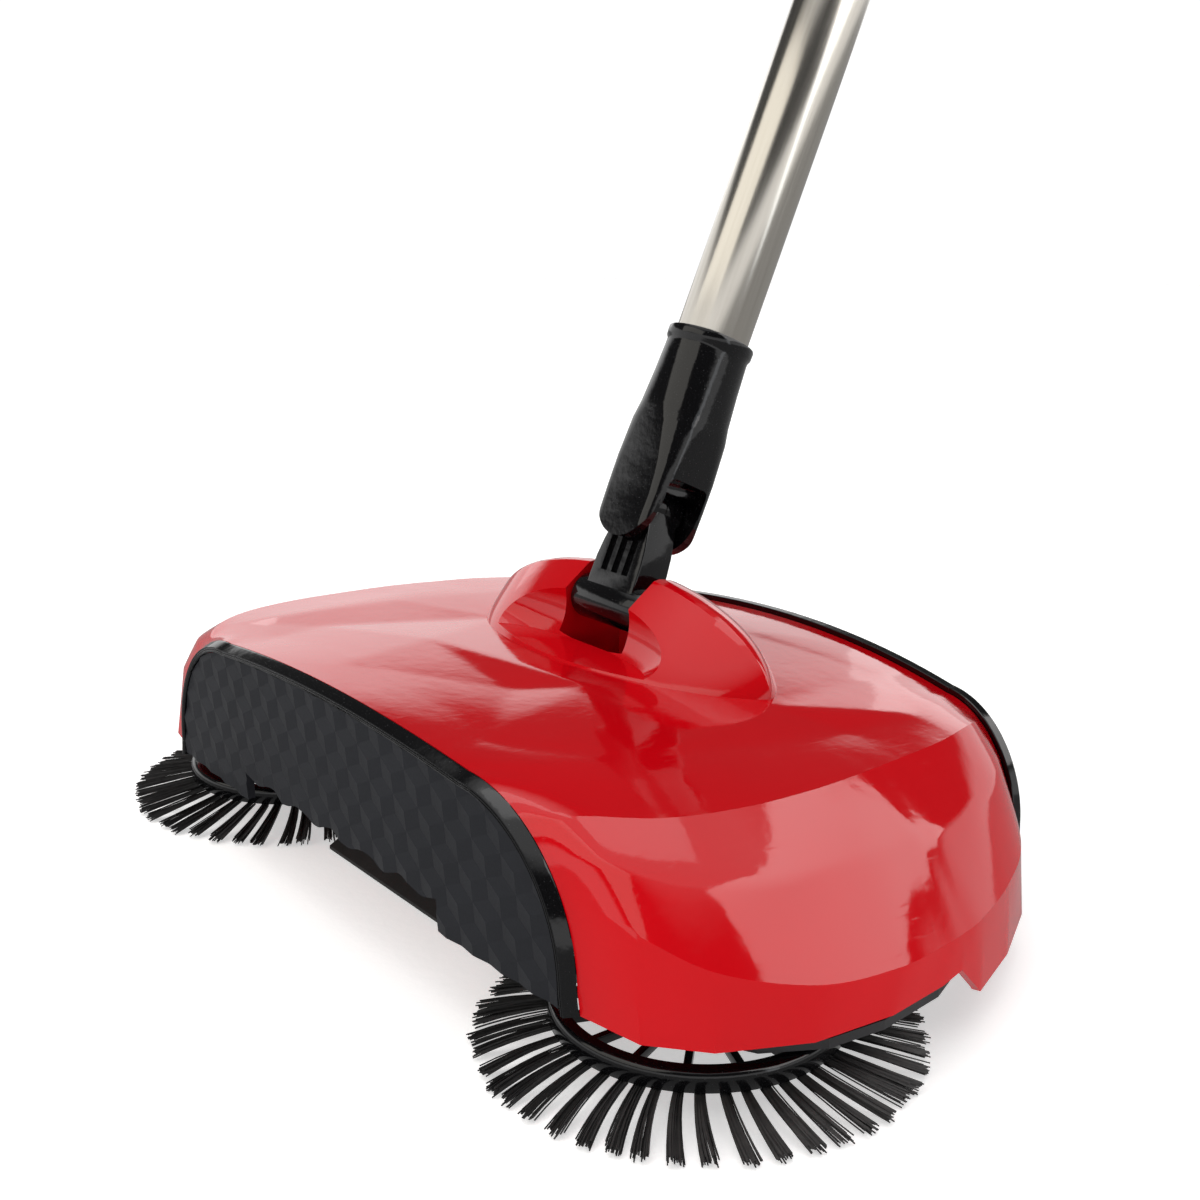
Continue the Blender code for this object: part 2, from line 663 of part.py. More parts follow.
def wheel(side, word):
    """Drive wheel: hub with a long sleeve, bevel gear, tyre and fixed axle."""
    turn = (0, side * math.pi / 2, 0)
    place = (side * BRUSH_X, WHEEL_Y, WHEEL_RADIUS)
    out = BRUSH_X - WHEEL_IN                    # wheel's inner face, from the apex
    face = out - WHEEL_WIDTH
    body = frame(f"wheel_frame_{word}", place, HEAD, turn)
    rim = 16.2 * MM
    hub = [(5 * MM, -GEAR_PITCH - GAP), (5 * MM, -face + 0.5 * MM), (rim - 2 * MM, -face + 0.5 * MM),
           (rim, -face), (rim, -out), (rim - 2 * MM, -out), (rim - 2 * MM, -out + 6 * MM),
           (7 * MM, -out + 6 * MM), (7 * MM, -out), (SHAFT_RADIUS + GAP, -out),
           (SHAFT_RADIUS + GAP, -GEAR_PITCH - GAP)]
    turned(f"wheel_hub_{word}", hub, DARK, body, steps=20)
    tread = [(WHEEL_RADIUS - 0.8 * MM, -face), (WHEEL_RADIUS, -face - 1.5 * MM),
             (WHEEL_RADIUS, -out + 1.5 * MM), (WHEEL_RADIUS - 0.8 * MM, -out),
             (rim + GAP, -out), (rim + GAP, -face)]
    turned(f"tyre_{word}", tread, RUBBER, body, steps=32)
    gear = finish(f"wheel_gear_{word}", bevel_gear_mesh(f"wheel_gear_{word}", 0.0), NYLON, body)
    bored(gear, SHAFT_RADIUS + GAP, (0, 0, -20 * MM), (0, 0, 10 * MM))
    axle = rod_mesh(f"wheel_axle_{word}", SHAFT_RADIUS, (0, 0, -out - 3.6 * MM), (0, 0, -3.2 * MM), 20)
    finish(f"wheel_axle_{word}", axle, ZINC, HEAD, place, turn)


def axle_bracket(side, word):
    """Upright that holds the inner end of the wheel axle."""
    x0, x1 = side * 62.4 * MM, side * 67.0 * MM
    low = (min(x0, x1), WHEEL_Y - 6 * MM, PLATE_TOP + GAP)
    high = (max(x0, x1), WHEEL_Y + 6 * MM, WHEEL_RADIUS + 7 * MM)
    bracket = finish(f"axle_bracket_{word}", box_mesh(f"axle_bracket_{word}", low, high), DARK, HEAD)
    bored(bracket, SHAFT_RADIUS + GAP, (side * 50 * MM, WHEEL_Y, WHEEL_RADIUS),
          (side * 80 * MM, WHEEL_Y, WHEEL_RADIUS))


def layshaft(side, word):
    """Lengthwise shaft with a bevel gear at each end."""
    place = (side * BRUSH_X, WHEEL_Y, WHEEL_RADIUS)
    body = frame(f"layshaft_frame_{word}", place, HEAD, (-math.pi / 2, 0, 0))
    span = WHEEL_Y - BRUSH_Y
    rod = rod_mesh(f"layshaft_{word}", SHAFT_RADIUS, (0, 0, -span + 4.6 * MM), (0, 0, -3.2 * MM), 20)
    finish(f"layshaft_{word}", rod, ZINC, body)
    rear = finish(f"lay_gear_rear_{word}", bevel_gear_mesh(f"lay_gear_rear_{word}", 0.5), NYLON, body)
    bored(rear, SHAFT_RADIUS + 0.1 * MM, (0, 0, -20 * MM), (0, 0, 10 * MM))
    front = finish(f"lay_gear_front_{word}", bevel_gear_mesh(f"lay_gear_front_{word}", 0.0), NYLON,
                   body, (0, 0, -span), (math.pi, 0, 0))
    bored(front, SHAFT_RADIUS + 0.1 * MM, (0, 0, -20 * MM), (0, 0, 10 * MM))
    for end, y in (("front", -36 * MM), ("rear", 40 * MM)):
        low = (side * BRUSH_X - 6 * MM, y - 4 * MM, PLATE_TOP + GAP)
        high = (side * BRUSH_X + 6 * MM, y + 4 * MM, WHEEL_RADIUS + 6 * MM)
        name = f"shaft_bearing_{end}_{word}"
        block = finish(name, box_mesh(name, low, high), DARK, HEAD)
        bored(block, SHAFT_RADIUS + GAP, (side * BRUSH_X, y - 9 * MM, WHEEL_RADIUS),
              (side * BRUSH_X, y + 9 * MM, WHEEL_RADIUS))


def brush_web():
    """Outline of the brush disc's spokes: an outer circle with one window between two spokes."""
    loops = [circle(DISC_RADIUS - 2.3 * MM, 16, start=11.25), circle(6 * MM, 12)]
    pitch = 360.0 / SPOKES
    for i in range(SPOKES):
        mid = pitch * (i + 0.5)
        outer = circle(DISC_RADIUS - 6.5 * MM, 2, start=mid - pitch * 0.40, sweep=pitch * 0.80)
        inner = circle(11 * MM, 2, start=mid + pitch * 0.27, sweep=-pitch * 0.54)
        loops.append(outer + inner)
    return loops


def brush(side, word):
    """Rotary brush: spoked disc, bristles, spindle, bevel gear and screw."""
    body = frame(f"brush_frame_{word}", (side * BRUSH_X, BRUSH_Y, 0), HEAD)
    web = flat_outline(f"brush_disc_{word}", brush_web(), 9.2 * MM, 12.0 * MM)
    disc = finish(f"brush_disc_{word}", web, BLACK, body)
    rim = [(DISC_RADIUS - 1 * MM, DISC_TOP), (DISC_RADIUS, DISC_TOP - 1.5 * MM), (DISC_RADIUS, DISC_LOW),
           (DISC_RADIUS - 4.5 * MM, DISC_LOW), (DISC_RADIUS - 4.5 * MM, DISC_TOP)]
    boolean(disc, turned(f"rim_{word}", rim, None, body, steps=32, cutter=True), "UNION")
    hub = [(SHAFT_RADIUS + GAP, 13.6 * MM), (9 * MM, 13.6 * MM), (9 * MM, 8 * MM), (SHAFT_RADIUS + GAP, 8 * MM)]
    boolean(disc, turned(f"hub_{word}", hub, None, body, steps=16, cutter=True), "UNION")
    skirt = [(DISC_RADIUS, DISC_LOW - GAP), (BRUSH_RADIUS, 2.2 * MM), (BRUSH_RADIUS, 0),
             (BRUSH_RADIUS - 5 * MM, 0), (DISC_RADIUS - 4.5 * MM, DISC_LOW - 2.6 * MM),
             (DISC_RADIUS - 4.5 * MM, DISC_LOW - GAP)]
    turned(f"bristles_{word}", skirt, BRISTLE, body, steps=36)
    spindle = rod_mesh(f"spindle_{word}", SHAFT_RADIUS, (0, 0, 8 * MM), (0, 0, 33 * MM), 20)
    finish(f"spindle_{word}", spindle, ZINC, body)
    gear = finish(f"spindle_gear_{word}", bevel_gear_mesh(f"spindle_gear_{word}", 0.0), NYLON, body,
                  (0, 0, WHEEL_RADIUS), (0, 0, math.radians(180.0 / GEAR_TEETH)))
    bored(gear, SHAFT_RADIUS + 0.1 * MM, (0, 0, -20 * MM), (0, 0, 10 * MM))
    screw = [(0, 7.7 * MM), (5 * MM, 7.7 * MM), (5 * MM, 6.4 * MM), (3 * MM, 5.4 * MM), (0, 5.4 * MM)]
    turned(f"brush_screw_{word}", screw, ZINC, body, steps=20)


def spindle_bracket(side, word):
    """Bridge over the spindle gear that carries the spindle's top bearing."""
    x = side * BRUSH_X
    mesh = box_mesh(f"spindle_bracket_{word}", (x - 13 * MM, BRUSH_Y - 5 * MM, PLATE_TOP + GAP),
                    (x + 13 * MM, BRUSH_Y + 5 * MM, 32 * MM))
    bracket = finish(f"spindle_bracket_{word}", mesh, DARK, HEAD)
    room = box_mesh(f"bracket_room_{word}", (x - 10 * MM, BRUSH_Y - 20 * MM, 0),
                    (x + 10 * MM, BRUSH_Y + 20 * MM, 28.5 * MM))
    boolean(bracket, finish(f"bracket_room_{word}", room, None, HEAD, cutter=True))
    bored(bracket, SHAFT_RADIUS + GAP, (x, BRUSH_Y, 10 * MM), (x, BRUSH_Y, 50 * MM))


# ---- dust box ------------------------------------------------------------------------
def dust_box():
    """Drawer-like box with a low sill towards the ramp and an open top."""
    back = rear_y(BOX_HALF) + 1.5 * MM
    outer = box_mesh("dust_box", (-BOX_HALF, BOX_FRONT, BOX_LOW), (BOX_HALF, back, BOX_TOP))
    box = finish("dust_box", outer, CLEAR_GREY, HEAD)
    room = box_mesh("box_room", (-BOX_HALF + BOX_WALL, BOX_FRONT + BOX_WALL, BOX_LOW + BOX_WALL),
                    (BOX_HALF - BOX_WALL, back - BOX_WALL, BOX_TOP + 10 * MM))
    boolean(box, finish("box_room", room, None, HEAD, cutter=True))
    sill = box_mesh("box_sill", (-BOX_HALF + BOX_WALL, BOX_FRONT - 5 * MM, BOX_LOW + 7 * MM),
                    (BOX_HALF - BOX_WALL, BOX_FRONT + 5 * MM, BOX_TOP + 10 * MM))
    boolean(box, finish("box_sill", sill, None, HEAD, cutter=True))


def box_front():
    """Curved front of the drawer, with a finger hollow along its top."""
    half = BOX_HALF + 1.8 * MM
    count = 20
    stations = []
    for i in range(count + 1):
        x = -half + 2 * half * i / count
        pull = max(0.0, 1 - (x / (24 * MM)) ** 2)
        stations.append((x, 14.5 * MM, BOX_TOP + 3.4 * MM - 9 * MM * math.sqrt(pull)))
    rings = []
    for x, low, high in stations:
        y = rear_y(x)
        rings.append([(x, y + 1.8 * MM, low), (x, y + 5.2 * MM, low), (x, y + 5.2 * MM, high),
                      (x, y + 1.8 * MM, high)])
    return finish("dust_box_front", loft_mesh("dust_box_front", rings), CHARCOAL, HEAD)


# ---- yoke and handle -------------------------------------------------------------------
def yoke():
    """Universal knuckle: barrel across, ribbed neck, eye at right angles."""
    barrel = rod_mesh("yoke", 7.8 * MM, (-17 * MM, 0, 0), (17 * MM, 0, 0), 32)
    body = finish("yoke", barrel, BLACK, YOKE)
    neck = loft_mesh("yoke_neck", [
        [(-12.5 * MM, -6.5 * MM, 0), (12.5 * MM, -6.5 * MM, 0), (12.5 * MM, 6.5 * MM, 0),
         (-12.5 * MM, 6.5 * MM, 0)],
        [(-12 * MM, -6.5 * MM, 14 * MM), (12 * MM, -6.5 * MM, 14 * MM), (12 * MM, 6.5 * MM, 14 * MM),
         (-12 * MM, 6.5 * MM, 14 * MM)],
        [(-7.4 * MM, -6.5 * MM, KNUCKLE), (7.4 * MM, -6.5 * MM, KNUCKLE),
         (7.4 * MM, 6.5 * MM, KNUCKLE), (-7.4 * MM, 6.5 * MM, KNUCKLE)]])
    boolean(body, finish("yoke_neck", neck, None, YOKE, cutter=True), "UNION")
    eye = rod_mesh("yoke_eye", 7.6 * MM, (0, -8.2 * MM, KNUCKLE), (0, 8.2 * MM, KNUCKLE), 32)
    boolean(body, finish("yoke_eye", eye, None, YOKE, cutter=True), "UNION")
    for i, x in enumerate((-5.6, 0.0, 5.6)):
        groove = box_mesh(f"yoke_groove_{i}", ((x - 1.6) * MM, -9 * MM, 9.5 * MM),
                          ((x + 1.6) * MM, -5.0 * MM, 24 * MM))
        boolean(body, finish(f"yoke_groove_{i}", groove, None, YOKE, cutter=True))
    low = rod_mesh("yoke_bore_low", SHAFT_RADIUS + GAP, (-30 * MM, 0, 0), (30 * MM, 0, 0))
    boolean(body, finish("yoke_bore_low", low, None, YOKE, cutter=True))
    high = rod_mesh("yoke_bore_high", SHAFT_RADIUS + GAP, (0, -20 * MM, KNUCKLE), (0, 20 * MM, KNUCKLE))
    boolean(body, finish("yoke_bore_high", high, None, YOKE, cutter=True))
    return body


def rounded_ring(half_x, half_y, radius, z, per_corner=5):
    """Corners of a rounded rectangle, going round once."""
    ring = []
    for quarter, (sx, sy) in enumerate(((1, 1), (-1, 1), (-1, -1), (1, -1))):
        cx = sx * (half_x - radius)
        cy = sy * (half_y - radius)
        for i in range(per_corner):
            a = math.radians(90 * quarter + 90 * i / (per_corner - 1))
            ring.append((cx + radius * math.cos(a), cy + radius * math.sin(a), z))
    return ring


def handle_socket():
    """Black socket: fork below, round mouth above."""
    levels = [(-14, 13.6, 12.2, 4.0), (4, 14.6, 12.2, 4.5), (14, 15.2, 12.6, 6.0), (28, 15.4, 13.6, 9.5),
              (34, 15.0, 14.1, 12.0), (56, 14.2, 14.0, 13.6), (57.5, 15.0, 14.8, 14.4), (61.5, 15.0, 14.8, 14.4)]
    rings = [rounded_ring(hx * MM, hy * MM, r * MM, z * MM) for z, hx, hy, r in levels]
    socket = finish("handle_socket", loft_mesh("handle_socket", rings), BLACK, HANDLE)
    tongue = box_mesh("fork_gap", (-30 * MM, -8.7 * MM, -30 * MM), (30 * MM, 8.7 * MM, 11 * MM))
    boolean(socket, finish("fork_gap", tongue, None, HANDLE, cutter=True))
    ends = loft_mesh("fork_ends", [
        [(x, y, z) for x, z in [(-30 * MM, -40 * MM), (30 * MM, -40 * MM), (30 * MM, 1.2 * MM)]
         + circle(13.8 * MM, 13, start=0, sweep=-180, cy=1.2 * MM) + [(-30 * MM, 1.2 * MM)]]
        for y in (-30 * MM, 30 * MM)])
    boolean(socket, finish("fork_ends", ends, None, HANDLE, cutter=True))
    bore = rod_mesh("socket_bore", TUBE_RADIUS + GAP, (0, 0, TUBE_START - GAP), (0, 0, 90 * MM), 48)
    boolean(socket, finish("socket_bore", bore, None, HANDLE, cutter=True))
    hole = rod_mesh("fork_bore", SHAFT_RADIUS + GAP, (0, -10.8 * MM, 0), (0, 10.8 * MM, 0))
    boolean(socket, finish("fork_bore", hole, None, HANDLE, cutter=True))
    return socket


def tube(name, start, length):
    """Thin-walled stainless tube along the handle."""
    inner = TUBE_RADIUS - TUBE_WALL
    profile = [(TUBE_RADIUS, start + length), (TUBE_RADIUS, start), (inner, start), (inner, start + length)]
    return turned(name, profile, STEEL, HANDLE, steps=32)


def coupler(name, z):
    """Screwed collar between two tubes, with a spigot inside each."""
    inner = TUBE_RADIUS - TUBE_WALL - GAP
    ring = TUBE_RADIUS + 1.2 * MM
    reach = 14 * MM
    profile = [(inner, z + reach), (inner, z + 3 * MM), (TUBE_RADIUS, z + 3 * MM), (ring, z + 2 * MM),
               (ring, z - 2 * MM), (TUBE_RADIUS, z - 3 * MM), (inner, z - 3 * MM), (inner, z - reach),
               (inner - 1.8 * MM, z - reach), (inner - 1.8 * MM, z + reach)]
    return turned(name, profile, BLACK, HANDLE, steps=20)


def grip(z):
    """Moulded hand grip over the end of the top tube."""
    hole = TUBE_RADIUS + GAP
    profile = [(13.6 * MM, z + 100 * MM), (15.6 * MM, z + 97 * MM), (15.6 * MM, z + 88 * MM),
               (14.6 * MM, z + 80 * MM), (15.4 * MM, z + 50 * MM), (14.6 * MM, z + 16 * MM),
               (16.4 * MM, z + 6 * MM), (16.4 * MM, z + 2 * MM), (15.4 * MM, z), (hole, z), (hole, z + 100 * MM)]
    return turned("grip", profile, BLACK, HANDLE, steps=20)


def end_cap(z):
    """Plug in the end of the handle, with a loop to hang it by."""
    inner = TUBE_RADIUS - TUBE_WALL - GAP
    profile = [(0, z + 6 * MM), (8 * MM, z + 6 * MM), (12.2 * MM, z + 3 * MM), (13.6 * MM, z + GAP),
               (inner, z + GAP), (inner, z - 12 * MM), (0, z - 12 * MM)]
    cap = turned("end_cap", profile, BLACK, HANDLE, steps=20)
    outline = circle(11 * MM, 15, cy=14 * MM, start=-25, sweep=230)
    outline = [(-11 * MM, 2 * MM), (11 * MM, 2 * MM)] + outline
    hole = circle(6 * MM, 20, cy=14 * MM)
    loop = flat_outline("hang_loop", [outline, hole], -3 * MM, 3 * MM)
    piece = finish("hang_loop", loop, None, HANDLE, (0, 0, z), (math.pi / 2, 0, 0), cutter=True)
    boolean(cap, piece, "UNION")
    return cap


def pins():
    """Steel pins of the two pivots."""
    low = rod_mesh("lower_pivot_pin", SHAFT_RADIUS, (-19.9 * MM, PIVOT_Y, PIVOT_Z),
                   (19.9 * MM, PIVOT_Y, PIVOT_Z), 20)
    finish("lower_pivot_pin", low, ZINC, HEAD)
    high = rod_mesh("upper_pivot_pin", SHAFT_RADIUS, (0, -10.5 * MM, 0), (0, 10.5 * MM, 0), 20)
    finish("upper_pivot_pin", high, ZINC, HANDLE)


def handle():
    """Socket, three tubes with two couplers, grip and end cap."""
    handle_socket()
    first = TUBE_START
    second = first + TUBE_1 + 6 * MM + 2 * GAP
    third = second + TUBE_2 + 6 * MM + 2 * GAP
    tube("tube_lower", first, TUBE_1)
    coupler("coupler_lower", second - 3 * MM - GAP)
    tube("tube_middle", second, TUBE_2)
    coupler("coupler_upper", third - 3 * MM - GAP)
    tube("tube_upper", third, TUBE_3)
    grip(third + TUBE_3 - 100 * MM)
    end_cap(third + TUBE_3)


# ---- the whole sweeper ---------------------------------------------------------------
upper_shell()
front_trim()
front_panel()
rear_trim()
rear_panel()
base_plate()
scoop_ramp()
scraper_lip()
base_screws()
for SIDE, WORD in ((-1, "left"), (1, "right")):
    wheel(SIDE, WORD)
    axle_bracket(SIDE, WORD)
    layshaft(SIDE, WORD)
    brush(SIDE, WORD)
    spindle_bracket(SIDE, WORD)
dust_box()
box_front()
yoke()
pins()
handle()
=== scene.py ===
import math

import bmesh
import bpy
from mathutils import Matrix, Vector
from mathutils.geometry import barycentric_transform, delaunay_2d_cdt, intersect_point_tri_2d


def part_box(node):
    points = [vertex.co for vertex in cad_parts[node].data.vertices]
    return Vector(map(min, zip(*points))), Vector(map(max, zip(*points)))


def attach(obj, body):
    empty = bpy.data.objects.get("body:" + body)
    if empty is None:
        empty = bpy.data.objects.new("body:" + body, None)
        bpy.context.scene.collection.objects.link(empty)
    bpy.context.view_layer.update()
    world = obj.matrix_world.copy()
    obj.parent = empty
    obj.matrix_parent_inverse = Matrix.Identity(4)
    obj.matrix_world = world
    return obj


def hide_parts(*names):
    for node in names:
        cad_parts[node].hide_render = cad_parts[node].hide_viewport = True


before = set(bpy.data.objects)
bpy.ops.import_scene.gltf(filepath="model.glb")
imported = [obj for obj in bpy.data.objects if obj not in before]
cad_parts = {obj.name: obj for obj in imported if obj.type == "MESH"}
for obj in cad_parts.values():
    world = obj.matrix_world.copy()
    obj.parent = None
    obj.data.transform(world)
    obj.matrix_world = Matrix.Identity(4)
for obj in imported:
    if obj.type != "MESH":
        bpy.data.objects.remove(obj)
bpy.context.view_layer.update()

MM = 0.001


# ---- Studio ------------------------------------------------------------------
# The sweeper stands on a white floor in an even, pale room. Soft boxes round it
# draw the broad reflections in its gloss.
SPINDLE_Y = -54      # the brushes' spindles, in mm in front of the head's middle line
disc_low, disc_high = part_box("brush_disc_right")
HEAD = Vector((0, (disc_low.y + disc_high.y) / 2 - SPINDLE_Y * MM, 0))


def look(azimuth, elevation, target, distance, lens):
    """A camera turned round a point: 0 looks along +Y, 90 along -X."""
    a, e = math.radians(azimuth), math.radians(elevation)
    back = Vector((math.sin(a) * math.cos(e), -math.cos(a) * math.cos(e), math.sin(e)))
    right = Vector((math.cos(a), math.sin(a), 0))
    data = bpy.data.cameras.new("camera")
    data.lens, data.sensor_width, data.clip_start = lens, 36, 0.01
    camera = bpy.data.objects.new("camera", data)
    bpy.context.scene.collection.objects.link(camera)
    camera.matrix_world = Matrix.Translation(target + back * distance) @ \
        Matrix((right, back.cross(right), back)).transposed().to_4x4()
    bpy.context.scene.camera = camera


def soft_box(name, place, aim, width, height, glow, colour=(1, 1, 1), lights=True):
    """A soft box of an even glow that faces a point. With lights off it shows in gloss only."""
    data = bpy.data.lights.new(name, "AREA")
    data.shape, data.size, data.size_y = "RECTANGLE", width, height
    data.energy, data.color = glow * math.pi * width * height, colour
    lamp = bpy.data.objects.new(name, data)
    bpy.context.scene.collection.objects.link(lamp)
    lamp.location = place
    lamp.rotation_euler = (Vector(aim) - Vector(place)).to_track_quat("-Z", "Y").to_euler()
    lamp.visible_camera, lamp.visible_diffuse = False, lights


look(azimuth=52.9, elevation=15.0, target=HEAD + Vector((-12.06, 10.48, 85.1)) * MM, distance=0.5526, lens=48)
centre = HEAD + Vector((0, 0, 0.05))
soft_box("front_box", centre + Vector((-0.2, -1.3, 1.05)), centre + Vector((0, 0, 0.15)),
         width=1.9, height=0.9, glow=1.5, colour=(1, 0.97, 0.9))
soft_box("top_box", centre + Vector((-0.3, 0.1, 1.9)), centre, width=1.3, height=1.0, glow=1.5)
soft_box("far_left_box", centre + Vector((-2.2, 0.62, 0.62)), centre, width=0.5, height=0.4, glow=0.6)
soft_box("far_right_box", centre + Vector((-1.25, 1.95, 0.55)), centre, width=0.4, height=0.4, glow=0.6)
soft_box("end_box", centre + Vector((0.95, 0.95, 1.15)), centre,
         width=2.1, height=1.3, glow=3.4, colour=(1, 0.98, 0.97), lights=False)
soft_box("side_box", centre + Vector((1.7, 0.3, 0.5)), centre + Vector((0, 0, 0.1)),
         width=0.25, height=1.1, glow=1.5, colour=(0.9, 0.95, 1))


class Wire:
    """A socket's output. Arithmetic on it adds Math nodes to its board."""

    def __init__(self, board, socket):
        self.board, self.socket = board, socket

    def count(self, operation, *terms):
        return self.board.node("ShaderNodeMath", {"operation": operation}, dict(enumerate(terms)))

    def __add__(self, other):
        return self.count("ADD", self, other)

    def __sub__(self, other):
        return self.count("SUBTRACT", self, other)

    def __rsub__(self, other):
        return self.count("SUBTRACT", other, self)

    def __mul__(self, other):
        return self.count("MULTIPLY", self, other)

    def __truediv__(self, other):
        return self.count("DIVIDE", self, other)

    def __mod__(self, other):
        return self.count("FLOORED_MODULO", self, other)

    __radd__ = __add__


class Board:
    """A node tree that is laid out in code."""

    def __init__(self, tree):
        self.tree = tree

    def join(self, socket, value):
        if isinstance(value, Wire):
            self.tree.links.new(value.socket, socket)
        else:
            socket.default_value = value

    def node(self, kind, settings=None, values=None, output=0):
        """Adds a node: its settings first, then the values and links of its sockets."""
        made = self.tree.nodes.new(kind)
        for key, value in (settings or {}).items():
            if key == "stops":
                stops = made.color_ramp.elements
                while len(stops) < len(value):
                    stops.new(0.5)
                for stop, (place, level) in zip(stops, value):
                    stop.position, stop.color = place, (level, level, level, 1)
            else:
                setattr(made, key, value)
        for key, value in (values or {}).items():
            self.join(made.inputs[key], value)
        return Wire(self, made.outputs[output])


# The room is bright low down and overhead, and dark between, so that edges show in the gloss.
ROOM_LEVELS = ((0.0, 0.3), (0.02, 1.0), (0.26, 1.0), (0.33, 0.06), (0.70, 0.06), (0.86, 1.0))
world = bpy.data.worlds.new("room")
bpy.context.scene.world = world
world.use_nodes = True
room = Board(world.node_tree)
height = room.node("ShaderNodeSeparateXYZ", {}, {0: room.node("ShaderNodeTexCoord", output="Generated")}, "Z")
background = room.tree.nodes["Background"].inputs
room.join(background["Color"], room.node("ShaderNodeValToRGB", {"stops": ROOM_LEVELS}, {0: height}))
room.join(background["Strength"], 1.25)
bpy.context.scene.view_settings.view_transform = "Standard"


class Finish(Board):
    """A material on one Principled BSDF."""

    def __init__(self, name, **uniform):
        self.material = bpy.data.materials.new(name)
        self.material.use_nodes = True
        super().__init__(self.material.node_tree)
        self.shader = self.tree.nodes["Principled BSDF"]
        for socket, value in uniform.items():
            self.feed(socket, value)
        self.place = self.node("ShaderNodeTexCoord", output="Object")

    def feed(self, socket, value):
        self.join(self.shader.inputs[socket.replace("_", " ")], value)

    def grain(self, size, detail=3.0, stretch=(1, 1, 1), turn=(0, 0, 0)):
        """Noise with grains of about that size, drawn out along an axis if asked."""
        mapped = {"Vector": self.place, "Scale": stretch, "Rotation": turn}
        place = self.node("ShaderNodeMapping", {}, mapped)
        return self.node("ShaderNodeTexNoise", {}, {"Vector": place, "Scale": 1 / size, "Detail": detail})

    def ramp(self, value, *stops):
        """The value after a ramp of (place, level) stops."""
        return self.node("ShaderNodeValToRGB", {"stops": stops}, {0: value})

    def blend(self, amount, first, second):
        """A colour between two colours."""
        colours = {0: amount, 6: (*first, 1), 7: (*second, 1)}
        return self.node("ShaderNodeMix", {"data_type": "RGBA"}, colours, 2)

    def relief(self, *layers):
        """Bumps, each a height from 0 to 1 and its depth in metres."""
        normal = None
        for height, depth in layers:
            values = {"Height": height, "Distance": depth, "Strength": 1.0}
            if normal:
                values["Normal"] = normal
            normal = self.node("ShaderNodeBump", {}, values)
        self.feed("Normal", normal)


floor_finish = Finish("white_floor", Roughness=0.75, Emission_Color=(1, 1, 1, 1), Emission_Strength=0.5)
floor_shade = floor_finish.blend(floor_finish.grain(0.3), (0.86, 0.855, 0.85), (0.9, 0.895, 0.89))
floor_finish.feed("Base_Color", floor_shade)
floor_finish.relief((floor_finish.grain(0.004), 0.0001))


def put(name, mesh):
    """An object for a mesh, in the scene."""
    made = bpy.data.objects.new(name, mesh)
    bpy.context.scene.collection.objects.link(made)
    return made


def solid(bm, merge=0.0):
    """A mesh from a bmesh, with its faces turned outward."""
    if merge:
        bmesh.ops.remove_doubles(bm, verts=bm.verts, dist=merge)
    bmesh.ops.recalc_face_normals(bm, faces=bm.faces)
    if bm.calc_volume(signed=True) < 0:
        bmesh.ops.reverse_faces(bm, faces=bm.faces)
    mesh = bpy.data.meshes.new("shape")
    bm.to_mesh(mesh)
    bm.free()
    return mesh


def lathe(profile, steps=96):
    """A profile of (radius, height) turned about Z. It closes unless it starts on the axis."""
    bm = bmesh.new()
    rings = []
    for i in range(steps):
        a = 2 * math.pi * i / steps
        rings.append([bm.verts.new((r * math.cos(a), r * math.sin(a), z)) for r, z in profile])
    last = len(profile) if profile[0][0] > 0 else len(profile) - 1
    for i in range(steps):
        a, b = rings[i], rings[(i + 1) % steps]
        for j in range(last):
            k = (j + 1) % len(profile)
            bm.faces.new((a[j], b[j], b[k], a[k]))
    return solid(bm, merge=1e-6)


floor = put("floor", lathe([(0, 0), (3.4, 0), (3.4, -0.01), (0, -0.01)]))
floor.data.materials.append(floor_finish.material)
floor.visible_glossy = False

backdrop_finish = Finish("white_backdrop", Base_Color=(0, 0, 0, 1), Roughness=1.0, Emission_Strength=1.05)
backdrop_shade = backdrop_finish.blend(backdrop_finish.grain(3.0), (0.99, 0.99, 0.99), (1, 1, 1))
backdrop_finish.feed("Emission_Color", backdrop_shade)
dome = [(0, 3.2), (2.0, 2.9), (2.9, 1.6), (3.05, 0.001), (3.0, 0.001), (2.85, 1.6), (1.95, 2.85), (0, 3.15)]
backdrop = put("backdrop", lathe(dome))
backdrop.data.materials.append(backdrop_finish.material)
backdrop.visible_glossy = backdrop.visible_diffuse = False
backdrop.visible_shadow = backdrop.visible_transmission = False
for stage_piece in (floor, backdrop):
    stage_piece.data.shade_smooth()


# ---- Cover -------------------------------------------------------------------
# One glossy red ABS moulding, 2.5 mm thick, with a faceted roof, crisp creases
# along its sides and two raised ears that carry the handle between them.
FRONT_ARCH = (120 * MM, 78.5 * MM, 46 * MM, 22 * MM)      # half width, crown, corner radius and foot
REAR_ARCH = (117 * MM, 68 * MM, 34 * MM, 13 * MM)
SAG = 0.8      # an arch's top falls by this times the square of the way out from its middle
PIVOT_Y, PIVOT_Z = 9 * MM, 86.5 * MM      # the knuckle's lower pin


def front_y(x):
    """Where the front arch stands: it bows forward a little in the middle."""
    return -96.5 * MM - 0.2 * (0.120 ** 2 - x ** 2)


def rear_y(x):
    """Where the rear arch stands: it bows back in the middle."""
    return 88 * MM - 0.95 * x ** 2


